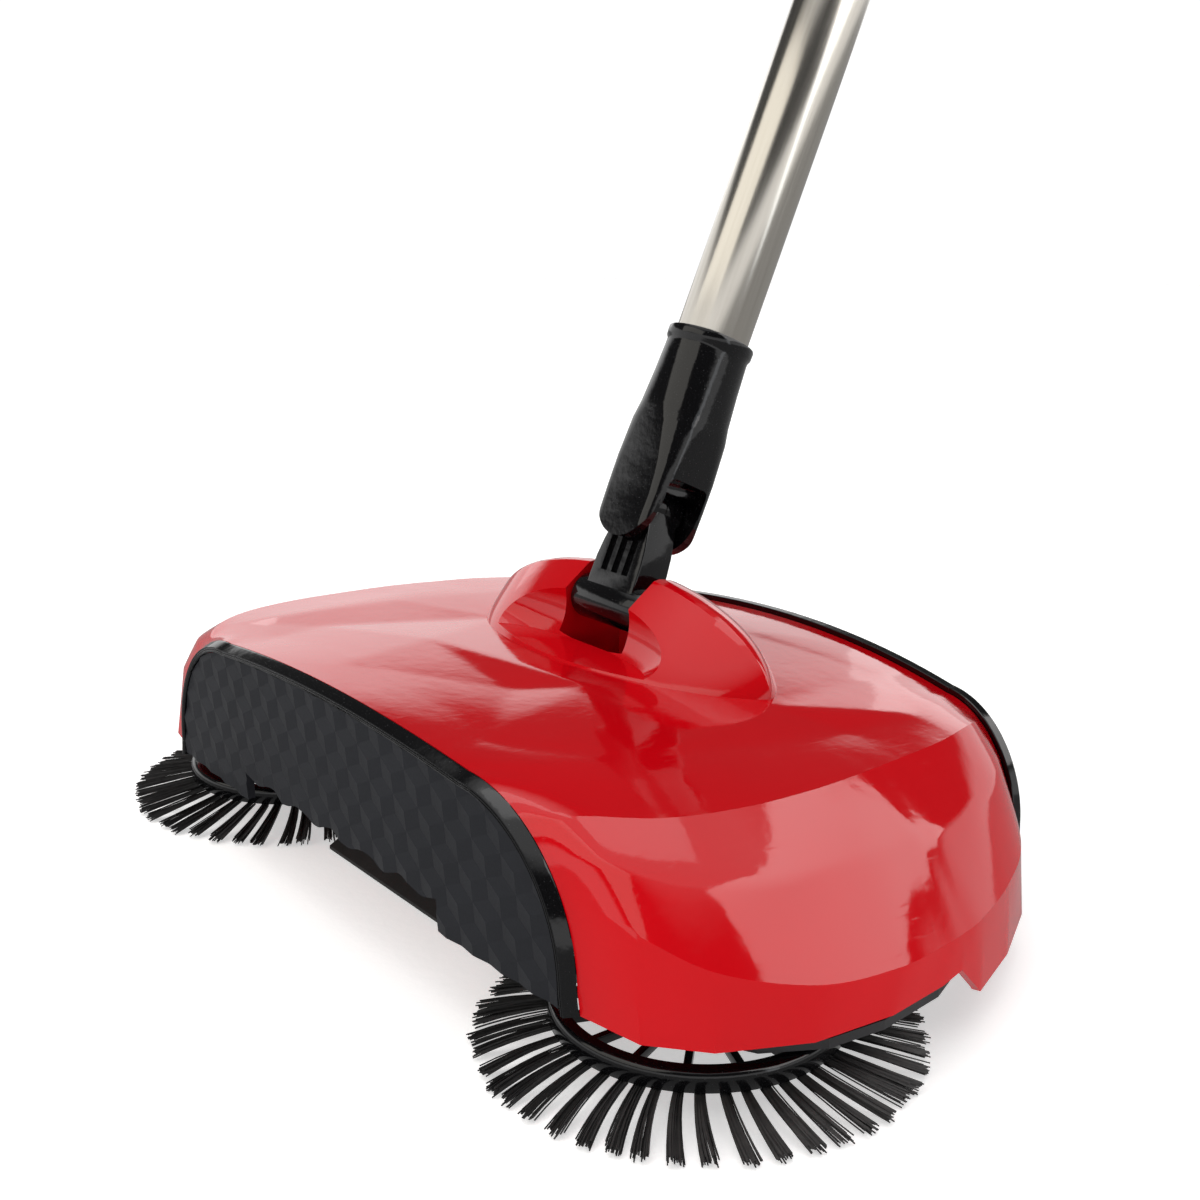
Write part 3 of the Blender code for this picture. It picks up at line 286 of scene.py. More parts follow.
def arch_point(u, half, crown, corner, foot, inset=0.0):
    """A point of an arch: u is 0 at the crown, 6 to 12 round the corner, 14 at the foot."""
    middle = half - corner
    level = crown - SAG * middle ** 2 - corner
    if u <= 6:
        x = middle * u / 6
        return x, crown - inset - SAG * x ** 2
    if u <= 12:
        a = math.radians(90 - 15 * (u - 6))
        return middle + (corner - inset) * math.cos(a), level + (corner - inset) * math.sin(a)
    return half - inset + 0.5 * MM * (u - 12), level + (foot - level) * (u - 12) / 2


def arch_line(arch, inset, fine=4):
    """The whole arch from its left foot over the crown to its right foot."""
    steps = [i / 2 for i in range(12)] + [6 + i / fine for i in range(6 * fine)] + [12, 13, 14]
    right = [arch_point(u, *arch, inset) for u in steps]
    return [(-x, z) for x, z in right[:0:-1]] + right


# The roof's middle, the crease, the side's fullest place and the hem of each cross section, in mm.
SECTIONS = [((0, -82, 77.0), (110, -88, 70.5), (136, -91, 49), (141, -93, 22)),
            ((0, -62, 75.8), (123, -71, 70.0), (153, -79, 42), (155, -81, 22)),
            ((0, -40, 74.5), (129, -49, 69.5), (165, -56, 36.5), (166, -58, 22)),
            ((0, -18, 73.2), (130, -26, 69.0), (168, -31, 34.5), (168.5, -33, 22)),
            ((0, 0, 72.4), (129, -8, 68.8), (166, -11, 34), (166.5, -12, 22.5)),
            ((0, 8, 72.2), (128, 0, 68.6), (164.5, -2, 34), (165, -3, 23.5)),
            ((0, 17, 71.9), (126.5, 10, 68.3), (161.5, 9, 34), (162, 9, 12)),
            ((0, 42, 71.0), (122, 34, 67.3), (151.5, 32, 34), (152.5, 32, 12)),
            ((0, 66, 70.0), (113, 58, 65.0), (137, 55, 35.5), (138.5, 56, 12))]


def section_point(row, u):
    """A point of one cross section: roof to u 8, upper side to 10, hem at 14."""
    if row in (0, 10):
        x, z = arch_point(u, *(FRONT_ARCH if row == 0 else REAR_ARCH))
        return Vector((x, front_y(x) if row == 0 else rear_y(x), z))
    middle, crease, side, hem = (Vector(p) * MM for p in SECTIONS[row - 1])
    if u <= 8:
        t = u / 8
        y, z = (a + (b - a) * t * t for a, b in zip(middle.yz, crease.yz))
        return Vector((crease.x * t, y, z))
    if u <= 10:
        t = (u - 8) / 2
        swell = Vector((0.035, 0, 0.09)) * (side - crease).length
        return crease.lerp(side, t) + swell * (1 - abs(2 * t - 1) ** 1.2)
    return side.lerp(hem, (u - 10) / 4)


# Corners of the roof's flat facets: place and rise, in mm, inside a rim that doesn't rise.
FOLDS = [(-35.8, -43.8, 1.0), (22.6, -50.5, -0.9), (-56.6, -1.5, -0.8), (35.4, -30.4, 0.8), (9.9, 53.5, 1.0),
         (68.2, 65.2, -0.8), (78.8, 6.2, 1.1), (103, 15.5, -0.7), (-80, -62, -0.6), (-98, -20, 0.9),
         (-92, 38, -0.6), (-48, 62, 0.9), (92, -58, 0.9), (58, -84, -0.7), (-22, -86, 0.7), (104, 44, 0.5),
         (-104, -84, 0.5)]
fold_rim = [(x, y, 0) for x in (-175, -60, 60, 175) for y in (-120, 110)]
fold_rim += [(x, y, 0) for x in (-175, 175) for y in (-40, 30)]
fold_points = [Vector(p) * MM for p in FOLDS + fold_rim]
_, _, fold_faces, fold_corners, _, _ = delaunay_2d_cdt([p.xy for p in fold_points], [], [], 0, 1e-7)


def fold_height(x, y):
    """Rise of the roof's flat facets above its even crown."""
    spot = Vector((x, y))
    for face in fold_faces:
        a, b, c = (fold_points[fold_corners[i][0]] for i in face)
        if intersect_point_tri_2d(spot, a.xy, b.xy, c.xy):
            flat = [Vector((*p.xy, 0)) for p in (a, b, c)]
            return barycentric_transform(Vector((x, y, 0)), *flat, a, b, c).z
    return 0.0


def cover_point(v, u):
    """A point of the cover's right half, smooth through the sections: v is 0 in front, 10 at the back."""
    row = min(int(v), 9)
    t = v - row
    a, b = section_point(row, u), section_point(row + 1, u)
    straight = a.lerp(b, t)
    before = section_point(row - 1, u) if row else a * 2 - b
    after = section_point(row + 2, u) if row < 9 else b * 2 - a
    curved = ((2 * a) + (b - before) * t + (2 * before - 5 * a + 4 * b - after) * t * t
              + (3 * a - before - 3 * b + after) * t ** 3) / 2
    return straight.lerp(curved, 1.0 if u <= 10 else (14 - u) / 4)


def cover_sheet():
    """The cover's outer face as an open sheet, right and left."""
    across = [i / 5 for i in range(40)] + [8 + i / 10 for i in range(20)] + [10 + i / 2 for i in range(9)]
    along = [i / 10 for i in range(101)]
    bm = bmesh.new()
    rows = []
    for v in along:
        right, left = [], []
        for u in across:
            p = cover_point(v, u)
            calm = min(1, v / 1.2, (10 - v) / 1.2, max(0, 8 - u) / 1.5)
            lift = [fold_height(side * p.x, p.y) * calm if calm > 0 else 0 for side in (1, -1)]
            right.append(bm.verts.new(HEAD + p + Vector((0, 0, lift[0]))))
            if u > 0:
                left.append(bm.verts.new(HEAD + Vector((-p.x, p.y, p.z + lift[1]))))
        rows.append(left[::-1] + right)
    for a, b in zip(rows, rows[1:]):
        for j in range(len(a) - 1):
            bm.faces.new((a[j], a[j + 1], b[j + 1], b[j]))
    bm.normal_update()
    if sum(f.normal.z for f in bm.faces) < 0:
        bmesh.ops.reverse_faces(bm, faces=bm.faces)
    mesh = bpy.data.meshes.new("cover_sheet")
    bm.to_mesh(mesh)
    bm.free()
    return mesh


def skin(rings):
    """A closed skin through rings of points."""
    bm = bmesh.new()
    rows = [[bm.verts.new(p) for p in ring] for ring in rings]
    for a, b in zip(rows, rows[1:]):
        for i in range(len(a)):
            j = (i + 1) % len(a)
            bm.faces.new((a[i], a[j], b[j], b[i]))
    bm.faces.new(rows[0])
    bm.faces.new(rows[-1][::-1])
    return solid(bm)


def block(low, high):
    """A plain block between two corners, used to cut with."""
    (x0, y0, z0), (x1, y1, z1) = low, high
    return skin([[(x0, y0, z), (x1, y0, z), (x1, y1, z), (x0, y1, z)] for z in (z0, z1)])


def bar(radius, start, end, steps=48):
    """A round bar between two points."""
    start, end = Vector(start), Vector(end)
    mesh = lathe([(0, (end - start).length), (radius, (end - start).length), (radius, 0), (0, 0)], steps)
    mesh.transform(Matrix.Translation(start) @ (end - start).to_track_quat("Z", "Y").to_matrix().to_4x4())
    return mesh


def shaped(mesh, *tools, wall=0.0, bevel=0.0):
    """A mesh after a wall, a row of (operation, tool) cuts or joins and a bevel."""
    work = put("work", mesh)
    if wall:
        made = work.modifiers.new("wall", "SOLIDIFY")
        made.thickness, made.offset, made.use_even_offset = wall, -1, True
    helpers = []
    for operation, tool in tools:
        helper = put("tool", tool)
        helper.hide_render = True
        helpers.append(helper)
        made = work.modifiers.new("cut", "BOOLEAN")
        made.operation, made.solver, made.object = operation, "EXACT", helper
    if bevel:
        made = work.modifiers.new("edge", "BEVEL")
        made.width, made.segments, made.limit_method, made.angle_limit = bevel, 3, "ANGLE", math.radians(35)
    bpy.context.view_layer.update()
    result = bpy.data.meshes.new_from_object(work.evaluated_get(bpy.context.evaluated_depsgraph_get()))
    for used in [work, *helpers]:
        bpy.data.objects.remove(used)
    return result


def piece(name, mesh, finish, body, slot, *replaced, sharp=35):
    """A finished piece of the sweeper, riding on its body in place of its CAD nodes."""
    mesh.name = name
    made = put(name, mesh)
    for each in finish if isinstance(finish, list) else [finish]:
        mesh.materials.append(each.material)
    mesh.shade_smooth()
    mesh.set_sharp_from_angle(angle=math.radians(sharp))
    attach(made, body)
    if replaced:
        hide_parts(*replaced)


EYE_HALF, EYE_Y = 74 * MM, 11 * MM            # half its width, and where its ridge runs
EYE_FORWARD, EYE_BACK = 34 * MM, 33 * MM      # its reach each way from the ridge
EYE_FOOT, EYE_RISE = 71 * MM, 28 * MM


def eye_lump(low, count=97, fine=45):
    """The raised eye round the handle's foot, as a closed lump down to a level."""
    rows = []
    for i in range(count):
        s = math.sin(math.pi / 2 * (2 * i / (count - 1) - 1))
        u = max(1e-4, 1 - s * s)
        y0, y1 = EYE_Y - EYE_FORWARD * u ** 0.7, EYE_Y + EYE_BACK * u ** 0.75
        row = []
        for k in range(fine):
            y = y0 + (y1 - y0) * (1 - math.cos(math.pi * k / (fine - 1))) / 2
            if y < EYE_Y:
                g = max(0.0, (y - y0) / (EYE_Y - y0)) ** 0.85
            else:
                g = max(0.0, math.sin(math.pi / 2 * (y1 - y) / (y1 - EYE_Y))) ** 0.8
            row.append(HEAD + Vector((EYE_HALF * s, y, EYE_FOOT + EYE_RISE * math.sqrt(u) * g)))
        row += [HEAD + Vector((EYE_HALF * s, y1, low)), HEAD + Vector((EYE_HALF * s, y0, low))]
        rows.append(row)
    return skin(rows)


def scoop():
    """The hollow between the ears, in front of the handle's foot."""
    bm = bmesh.new()
    bmesh.ops.create_uvsphere(bm, u_segments=72, v_segments=40, radius=1.0)
    bmesh.ops.scale(bm, vec=(54 * MM, 16 * MM, 18.5 * MM), verts=bm.verts)
    bmesh.ops.translate(bm, vec=HEAD + Vector((0, -15, 86)) * MM, verts=bm.verts)
    return solid(bm)


def head_block(low, high):
    """A block to cut with, placed in mm from the middle of the head."""
    return block(HEAD + Vector(low) * MM, HEAD + Vector(high) * MM)


PIN_HOLE = 2.8 * MM
left_end, right_end = (HEAD + Vector((x * MM, PIVOT_Y, PIVOT_Z)) for x in (-30, 30))
scoop_cut = shaped(scoop(), ("DIFFERENCE", head_block((-80, -60, 40), (80, 40, 74.3))))
ears = shaped(eye_lump(62 * MM), ("DIFFERENCE", scoop_cut))
cover_mesh = shaped(cover_sheet(), ("UNION", ears),
                    ("DIFFERENCE", head_block((-17.5, -3, 40), (17.5, 23, 130))),
                    ("DIFFERENCE", head_block((-17.5, 22, 73), (17.5, 60, 130))),
                    ("DIFFERENCE", bar(PIN_HOLE, left_end, right_end)), wall=2.5 * MM)

red = Finish("cover_red", Specular_IOR_Level=0.42)
flow = red.grain(0.05, 2.0)
red.feed("Base_Color", red.blend(flow, (0.55, 0.001, 0.0045), (0.63, 0.002, 0.007)))
rub = red.ramp(red.grain(0.0011, 2.0, (1, 0.08, 1), (0, 0, 0.5)), (0.62, 0), (0.72, 1))
dust = red.ramp(red.grain(0.00045, 1.0), (0.7, 0), (0.76, 1))
red.feed("Roughness", 0.045 + red.grain(0.02) * 0.05 + rub * 0.06 + dust * 0.10)
red.relief((red.grain(0.006, 2.0), 0.00004), (rub, 0.000004))
piece("cover", cover_mesh, red, "head", "red_gloss", "upper_shell", sharp=20)


# ---- Front band --------------------------------------------------------------
# A glossy black ABS band is pressed on round the front arch. Two fine grooves are moulded into its face,
# their floors painted grey as a painted highlight, and its outer edge is chamfered back to the cover.
def swept(arch, section, y_of, sign):
    """A band swept along an arch; the section lists its (inset, depth) corners in mm."""
    lines = [arch_line(arch, inset * MM, 8) for inset, depth in section]
    rings = []
    for i in range(len(lines[0])):
        rings.append([HEAD + Vector((line[i][0], y_of(line[i][0]) + sign * depth * MM, line[i][1]))
                      for (inset, depth), line in zip(section, lines)])
    return skin(rings)


def paint_groove_highlight(mesh, section, marked):
    """Gives the strips of a swept band that start at the marked corners the second finish, the grey painted
    highlight of its grooves.
    """
    count = len(section)
    for n, face in enumerate(mesh.polygons):
        face.material_index = 1 if n % count in marked and len(face.vertices) == 4 else 0


black = Finish("black_gloss", Specular_IOR_Level=0.4)
lint = black.ramp(black.grain(0.0005, 1.0), (0.68, 0), (0.75, 1))
black.feed("Base_Color", black.blend(lint, (0.0025, 0.0025, 0.003), (0.02, 0.02, 0.022)))
black.feed("Roughness", 0.07 + black.grain(0.012) * 0.07 + lint * 0.2)
black.relief((black.grain(0.003, 2.0), 0.00005))

# Painted highlight: the groove floors of the black bands are painted grey to stand for the light they catch.
line_grey = Finish("line_grey", Specular_IOR_Level=0.5)
line_grey.feed("Base_Color", line_grey.blend(line_grey.grain(0.004), (0.16, 0.16, 0.17), (0.24, 0.24, 0.25)))
line_grey.feed("Roughness", 0.35 + line_grey.grain(0.001) * 0.2)

# The band's (inset, depth) corners in mm, outer edge first. Two grooves lie in its face.
band_section = [(0, 0.3), (0.15, 1.0), (1.5, 3.75), (1.62, 3.95), (1.8, 4.0), (2.0, 4.0), (2.06, 3.75),
                (2.24, 3.75), (2.3, 4.0), (2.75, 4.0), (2.81, 3.75), (2.99, 3.75), (3.05, 4.0), (3.4, 3.85),
                (3.6, 3.5), (3.6, 0.3)]
front_band = swept(FRONT_ARCH, band_section, front_y, -1)
# Painted highlight: the floors of the two grooves get the grey finish.
paint_groove_highlight(front_band, band_section, (6, 10))
piece("front_band", front_band, [black, line_grey], "head", "black_gloss", "front_trim", sharp=25)


# ---- Front panel -------------------------------------------------------------
# A charcoal panel closes the front arch. Its face is moulded in a relief of
# little cubes, and a scalloped mouth along its foot lets the dirt in.
CELL_WIDE, CELL_TALL = 6.6 * MM, 3.1 * MM     # half a cube's width and half its edge
CUBE_RISE = 0.55 * MM              # height between one corner and the next
PANEL_INSET, PANEL_TOE = 3.8 * MM, 23 * MM
MOUTH_HALF, MOUTH_TOP = 61 * MM, 32 * MM
SCALLOP_RISE, SCALLOP_PITCH = 1.2 * MM, 21 * MM
STEP = 0.02 * MM                   # the width over which an opening's side steps up


def cube_relief(half, low, high, back):
    """A slab whose front, towards -Y, is a field of cubes seen corner on."""
    bm = bmesh.new()
    front, rear = {}, {}
    columns, lines = int(half / CELL_WIDE) + 2, int((high - low) / CELL_TALL) + 3
    for i in range(-columns, columns + 1):
        for j in range(-1, lines):
            if (i + j) % 2:
                continue
            step = ((j - i) // 2 + 2 * i) % 3
            x, z = i * CELL_WIDE, low + j * CELL_TALL
            front[i, j] = bm.verts.new((x, -CUBE_RISE * step, z))
            rear[i, j] = bm.verts.new((x, back, z))
    for grid in (front, rear):
        for (i, j), corner in grid.items():
            for ring in (((i + 1, j + 1), (i + 1, j - 1)), ((i + 1, j + 1), (i, j + 2))):
                if all(c in grid for c in ring):
                    bm.faces.new([corner, *(grid[c] for c in ring)])
    cell = {corner: key for key, corner in front.items()}
    for edge in [e for e in bm.edges if e.is_boundary]:
        a, b = edge.verts
        if a in cell and b in cell:
            bm.faces.new((a, b, rear[cell[b]], rear[cell[a]]))
    return solid(bm)


def arch_height(x, half, crown, corner, inset):
    """The height of an arch over a place across it."""
    middle = half - corner
    if abs(x) <= middle:
        return crown - inset - SAG * x * x
    reach = min(abs(x) - middle, corner - inset)
    return crown - SAG * middle ** 2 - corner + math.sqrt(max(0.0, (corner - inset) ** 2 - reach ** 2))


def panel_edge(half, opening, toe, steps, middle):
    """A panel's lower edge round the opening in its middle, with its points closest at the arch's sides."""
    spread = [1 - math.cos(math.pi / 2 * k / steps) for k in range(steps + 1)]
    left = [(-half + (half - opening) * s, toe) for s in spread]
    return left + middle + [(-x, z) for x, z in left[::-1]]


def panel_rings(lower_edge, arch, inset, least, front, back):
    """Rings across a slab that fills an arch down to a lower edge."""
    rings = []
    for x, low in lower_edge:
        top = max(arch_height(x, *arch[:3], inset), low + least)
        rings.append([(x, y, z) for y, z in ((front, low), (back, low), (back, top), (front, top))])
    return rings


def even_places(half, count):
    """Places spread evenly across an opening."""
    return [-half + STEP + 2 * (half - STEP) * i / count for i in range(count + 1)]


panel_half = FRONT_ARCH[0] - PANEL_INSET
scallops = [(x, MOUTH_TOP + SCALLOP_RISE * math.cos(2 * math.pi * x / SCALLOP_PITCH))
            for x in even_places(MOUTH_HALF, 160)]
front_edge = panel_edge(panel_half, MOUTH_HALF, PANEL_TOE, 24, scallops)
outline = skin(panel_rings(front_edge, FRONT_ARCH, PANEL_INSET, 4 * MM, -3 * MM, 3 * MM))
panel = shaped(cube_relief(panel_half + 8 * MM, 14 * MM, 84 * MM, 2.3 * MM), ("INTERSECT", outline))
for vertex in panel.vertices:
    vertex.co += HEAD + Vector((0, front_y(vertex.co.x) - 2.7 * MM, 0))

charcoal = Finish("charcoal_satin", Specular_IOR_Level=0.24)
cast = charcoal.grain(0.0006)
cloud = charcoal.grain(0.03) * 0.7 + cast * 0.3
charcoal.feed("Base_Color", charcoal.blend(cloud, (0.0065, 0.0072, 0.010), (0.014, 0.015, 0.020)))
charcoal.feed("Roughness", 0.36 + cast * 0.16)
charcoal.relief((cast, 0.00003))
piece("front_panel_relief", panel, charcoal, "head", "charcoal_satin", "front_panel", sharp=4)


# ---- Rear band, rear panel and dust box ---------------------------------------
# The back arch has its own black band round a charcoal panel. A grey dust box
# slides out through it on its moulded front, pulled by a finger hollow.
rear_section = [(-1.7, 0.3), (-1.9, 0.6), (-1.9, 3.2), (-1.5, 3.8), (1.4, 4.8), (2.0, 5.0), (3.3, 5.0),
                (3.36, 4.7), (3.6, 4.7), (3.66, 5.0), (5.2, 5.0), (5.5, 4.7), (5.5, 0.3)]
rear_band = swept(REAR_ARCH, rear_section, rear_y, 1)
# Painted highlight: the floor of the groove gets the grey finish.
paint_groove_highlight(rear_band, rear_section, (7,))
piece("rear_band", rear_band, [black, line_grey], "head", "black_gloss", "rear_trim", sharp=25)

REAR_INSET, REAR_TOE = 5.8 * MM, 14 * MM
GATE_HALF, GATE_TOP = 60.5 * MM, 54 * MM
gate = [(x, GATE_TOP) for x in even_places(GATE_HALF, 48)]
rear_edge = panel_edge(REAR_ARCH[0] - REAR_INSET, GATE_HALF, REAR_TOE, 28, gate)
rear_rings = []
for ring in panel_rings(rear_edge, REAR_ARCH, REAR_INSET, 3 * MM, 1.6 * MM, 4.0 * MM):
    rear_rings.append([HEAD + Vector((x, rear_y(x) + y, z)) for x, y, z in ring])
rear_face = shaped(skin(rear_rings), bevel=0.4 * MM)
piece("rear_panel_face", rear_face, charcoal, "head", "charcoal_satin", "rear_panel")

DRAWER_HALF, DRAWER_TOP = 59.8 * MM, 53.4      # heights and depths of its front are in mm
HOLLOW_HALF, HOLLOW_DEEP = 24 * MM, 9
RIB_PITCH, RIB_RISE = 4.98 * MM, 0.5
drawer_rings = []
for i in range(121):
    x = -DRAWER_HALF + 2 * DRAWER_HALF * i / 120
    top = DRAWER_TOP - HOLLOW_DEEP * math.sqrt(max(0.0, 1 - (x / HOLLOW_HALF) ** 2))
    rib = 5.2 - RIB_RISE * (0.5 + 0.5 * math.cos(2 * math.pi * x / RIB_PITCH)) ** 2
    outline = [(1.8, 14.5), (4.7, 14.5), (5.2, 15.0), (5.2, 19), (rib, 20), (rib, 32), (5.2, 33),
               (5.2, top - 0.5), (4.7, top), (1.8, top)]
    drawer_rings.append([HEAD + Vector((x, rear_y(x) + y * MM, z * MM)) for y, z in outline])
drawer_front = skin(drawer_rings)
piece("drawer_front", drawer_front, charcoal, "dust_drawer", "charcoal_satin", "dust_box_front", sharp=30)

smoke = Finish("smoke_grey", Specular_IOR_Level=0.5)
smoke.feed("Base_Color", smoke.blend(smoke.grain(0.02), (0.13, 0.13, 0.14), (0.19, 0.19, 0.20)))
smoke.feed("Roughness", 0.3 + smoke.grain(0.003) * 0.25)
smoke.relief((smoke.grain(0.0008), 0.00004))


def refinish(finish, slot, *nodes):
    """Gives CAD nodes that stay a finished material."""
    for name in nodes:
        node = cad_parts[name]
        node.data.materials.clear()
        node.data.materials.append(finish.material)


refinish(smoke, "grey_plastic", "dust_box")


# ---- Knuckle -----------------------------------------------------------------
# A black glass-filled nylon knuckle lets the handle tip and swing. Its ribbed
# neck joins a barrel across the head to an eye at right angles, on steel pins.
LEAN = math.radians(24.7)
KNUCKLE = 34 * MM
knuckle_place = Matrix.Translation(HEAD + Vector((0, PIVOT_Y, PIVOT_Z))) @ Matrix.Rotation(-LEAN, 4, "X")
handle_place = knuckle_place @ Matrix.Translation((0, 0, KNUCKLE))


def turned(profile, steps=96):
    """A lathed part from a profile in mm."""
    return lathe([(r * MM, z * MM) for r, z in profile], steps)


barrel = turned([(0, 17), (7.0, 17), (7.6, 16.6), (7.8, 16.0), (7.8, -16.0), (7.6, -16.6), (7.0, -17),
                 (0, -17)])
barrel.transform(Matrix.Rotation(math.pi / 2, 4, "Y"))
neck = []
for z, wide in ((0, 12.4), (14, 12.0), (20, 11.1), (27, 9.2), (34, 7.4)):
    neck.append([(sx * wide * MM, sy * 6.5 * MM, z * MM) for sx, sy in ((-1, -1), (1, -1), (1, 1), (-1, 1))])
eye = turned([(0, 8.2), (6.9, 8.2), (7.4, 7.9), (7.6, 7.4), (7.6, 0.35), (7.35, 0.1), (7.35, -0.1),
              (7.6, -0.35), (7.6, -7.4), (7.4, -7.9), (6.9, -8.2), (0, -8.2)])
eye.transform(Matrix.Translation((0, 0, KNUCKLE)) @ Matrix.Rotation(math.pi / 2, 4, "X"))
cuts = [("UNION", shaped(skin(neck), bevel=0.7 * MM)), ("UNION", eye)]
for x in (-5.6, 0.0, 5.6):
    for y in (-9, 5.0):
        cuts.append(("DIFFERENCE", block(Vector((x - 1.6, y, 9.5)) * MM, Vector((x + 1.6, y + 4, 24)) * MM)))
cuts += [("DIFFERENCE", bar(PIN_HOLE, (-30 * MM, 0, 0), (30 * MM, 0, 0))),
         ("DIFFERENCE", bar(PIN_HOLE, (0, -20 * MM, KNUCKLE), (0, 20 * MM, KNUCKLE)))]
knuckle = shaped(barrel, *cuts)
knuckle.transform(knuckle_place)
piece("knuckle", knuckle, black, "yoke", "black_gloss", "yoke", sharp=30)

zinc = Finish("zinc_steel", Metallic=1.0)
zinc.feed("Base_Color", zinc.blend(zinc.grain(0.004), (0.52, 0.52, 0.53), (0.66, 0.66, 0.64)))
zinc.feed("Roughness", 0.25 + zinc.grain(0.0015) * 0.25)
zinc.relief((zinc.grain(0.0006), 0.00001))
refinish(zinc, "zinc_steel", "lower_pivot_pin", "upper_pivot_pin")


# ---- Handle socket -----------------------------------------------------------
# A moulded black ABS socket: a rounded fork pinned over the knuckle below, and
# a sleeve with a thin flared lip round the tube above.
def soft_square(half_x, half_y, corner, z, fine=9):
    """Corners of a rounded rectangle at one level."""
    ring = []
    for quarter, (sx, sy) in enumerate(((1, 1), (-1, 1), (-1, -1), (1, -1))):
        for i in range(fine):
            a = math.radians(90 * quarter + 90 * i / (fine - 1))
            x = sx * (half_x - corner) + corner * math.cos(a)
            y = sy * (half_y - corner) + corner * math.sin(a)
            ring.append((x, y, z))
    return ring


# Height, half width across the upper pin, half width along it, and corner radius, in mm.
LEVELS = [(-14, 13.6, 12.2, 4.0), (4, 14.6, 12.2, 4.5), (14, 15.2, 12.6, 6.0), (28, 15.4, 13.6, 9.5),
          (34, 15.0, 14.1, 12.0), (45, 14.5, 14.05, 13.0), (56, 14.2, 14.0, 13.6), (57.2, 14.3, 14.1, 13.8),
          (58.2, 14.9, 14.7, 14.4), (60.9, 15.0, 14.8, 14.5), (61.5, 14.7, 14.5, 14.2)]
socket_rings = []
for (z0, *a), (z1, *b) in zip(LEVELS, LEVELS[1:]):
    steps = 4 if z1 - z0 > 5 else 1
    for k in range(steps):
        sizes = ((p + (q - p) * k / steps) * MM for p, q in zip(a, b))
        socket_rings.append(soft_square(*sizes, (z0 + (z1 - z0) * k / steps) * MM))
socket_rings.append(soft_square(*(p * MM for p in LEVELS[-1][1:]), LEVELS[-1][0] * MM))

CHEEK, CHEEK_Z = 13.8, 1.2      # the radius of the cheeks' round ends and its middle's height, in mm
REACH = 30
end_arc = [-math.pi * i / 40 for i in range(41)]
round_end = [(CHEEK * math.cos(a), CHEEK_Z + CHEEK * math.sin(a)) for a in end_arc]
cheek_end = [(-REACH, -40), (REACH, -40), (REACH, CHEEK_Z), *round_end, (-REACH, CHEEK_Z)]
gap = [(-8.7, -30), (8.7, -30), (8.7, 9.0), (8.1, 10.4), (6.7, 11.0), (-6.7, 11.0), (-8.1, 10.4), (-8.7, 9.0)]
gap_cut = skin([[(x * MM, y * MM, z * MM) for y, z in gap] for x in (-REACH, REACH)])
end_cut = skin([[(x * MM, y * MM, z * MM) for x, z in cheek_end] for y in (-REACH, REACH)])
socket = shaped(skin(socket_rings), ("DIFFERENCE", gap_cut), ("DIFFERENCE", end_cut),
                ("DIFFERENCE", bar(12.8 * MM, (0, 0, 25.7 * MM), (0, 0, 90 * MM), 96)),
                ("DIFFERENCE", bar(PIN_HOLE, (0, -10.8 * MM, 0), (0, 10.8 * MM, 0))))
socket.transform(handle_place)
piece("socket", socket, black, "handle", "black_gloss", "handle_socket", sharp=30)


# ---- Tubes -------------------------------------------------------------------
# Three 25 mm stainless tubes, rolled and brushed along their length, with their
# cut ends turned in a little where they meet the collars.
TUBE = 12.5 * MM
steel = Finish("brushed_stainless", Metallic=1.0)
drawn = {"Vector": steel.place, "Rotation": (-LEAN, 0, 0), "Scale": (1, 1, 60)}
steel_map = steel.node("ShaderNodeMapping", {"vector_type": "TEXTURE"}, drawn)
hair = steel.node("ShaderNodeTexNoise", {}, {"Vector": steel_map, "Scale": 2600, "Detail": 3.0})
broad = steel.node("ShaderNodeTexNoise", {}, {"Vector": steel_map, "Scale": 500, "Detail": 2.0})
steel.feed("Base_Color", steel.blend(broad * 0.6 + hair * 0.4, (0.46, 0.43, 0.38), (0.62, 0.59, 0.54)))
steel.feed("Roughness", 0.13 + hair * 0.10 + steel.grain(0.03) * 0.04)
steel.relief((hair, 0.000012))
for name, start, length in (("tube_lower", 26, 270), ("tube_middle", 302.6, 245), ("tube_upper", 554.2, 225)):
    low, end = start * MM, (start + length) * MM
    mesh = lathe([(TUBE - 0.3 * MM, end), (TUBE, end - 0.5 * MM), (TUBE, low + 0.5 * MM),
                  (TUBE - 0.3 * MM, low), (TUBE - 0.35 * MM, low + 0.2 * MM),
                  (TUBE - 0.35 * MM, end - 0.2 * MM)], 128)
    mesh.transform(handle_place)
    piece(name + "_steel", mesh, steel, "handle", "stainless", name)


# ---- Collars, grip and hanging loop --------------------------------------------
# Black screwed collars join the tubes. The grip is a soft-touch moulding with
# raised rings, and a plug with a loop closes the top.
def along_handle(mesh):
    """Stands a part on the handle's line."""
    mesh.transform(handle_place)
    return mesh


# A collar's (radius, height) corners in mm: a plug each way from a ring with a fine groove.
collar_line = [(11.85, 14), (11.85, 3), (12.3, 3), (12.9, 2.8), (13.5, 2.4), (13.7, 1.9), (13.7, 0.4),
               (13.45, 0.15), (13.45, -0.15), (13.7, -0.4), (13.7, -1.9), (13.5, -2.4), (12.9, -2.8),
               (12.3, -3), (11.85, -3), (11.85, -14), (10.05, -14), (10.05, 14)]
for name, z in (("coupler_lower", 299.3), ("coupler_upper", 550.9)):
    collar = along_handle(turned([(r, z + d) for r, d in collar_line]))
    piece(name + "_ring", collar, black, "handle", "black_gloss", name, sharp=45)

soft = Finish("soft_grip", Specular_IOR_Level=0.35)
pebble = soft.grain(0.0009, 2.0)
soft.feed("Base_Color", soft.blend(soft.grain(0.02), (0.012, 0.012, 0.013), (0.022, 0.022, 0.024)))
soft.feed("Roughness", 0.5 + pebble * 0.25)
soft.relief((pebble, 0.00012))

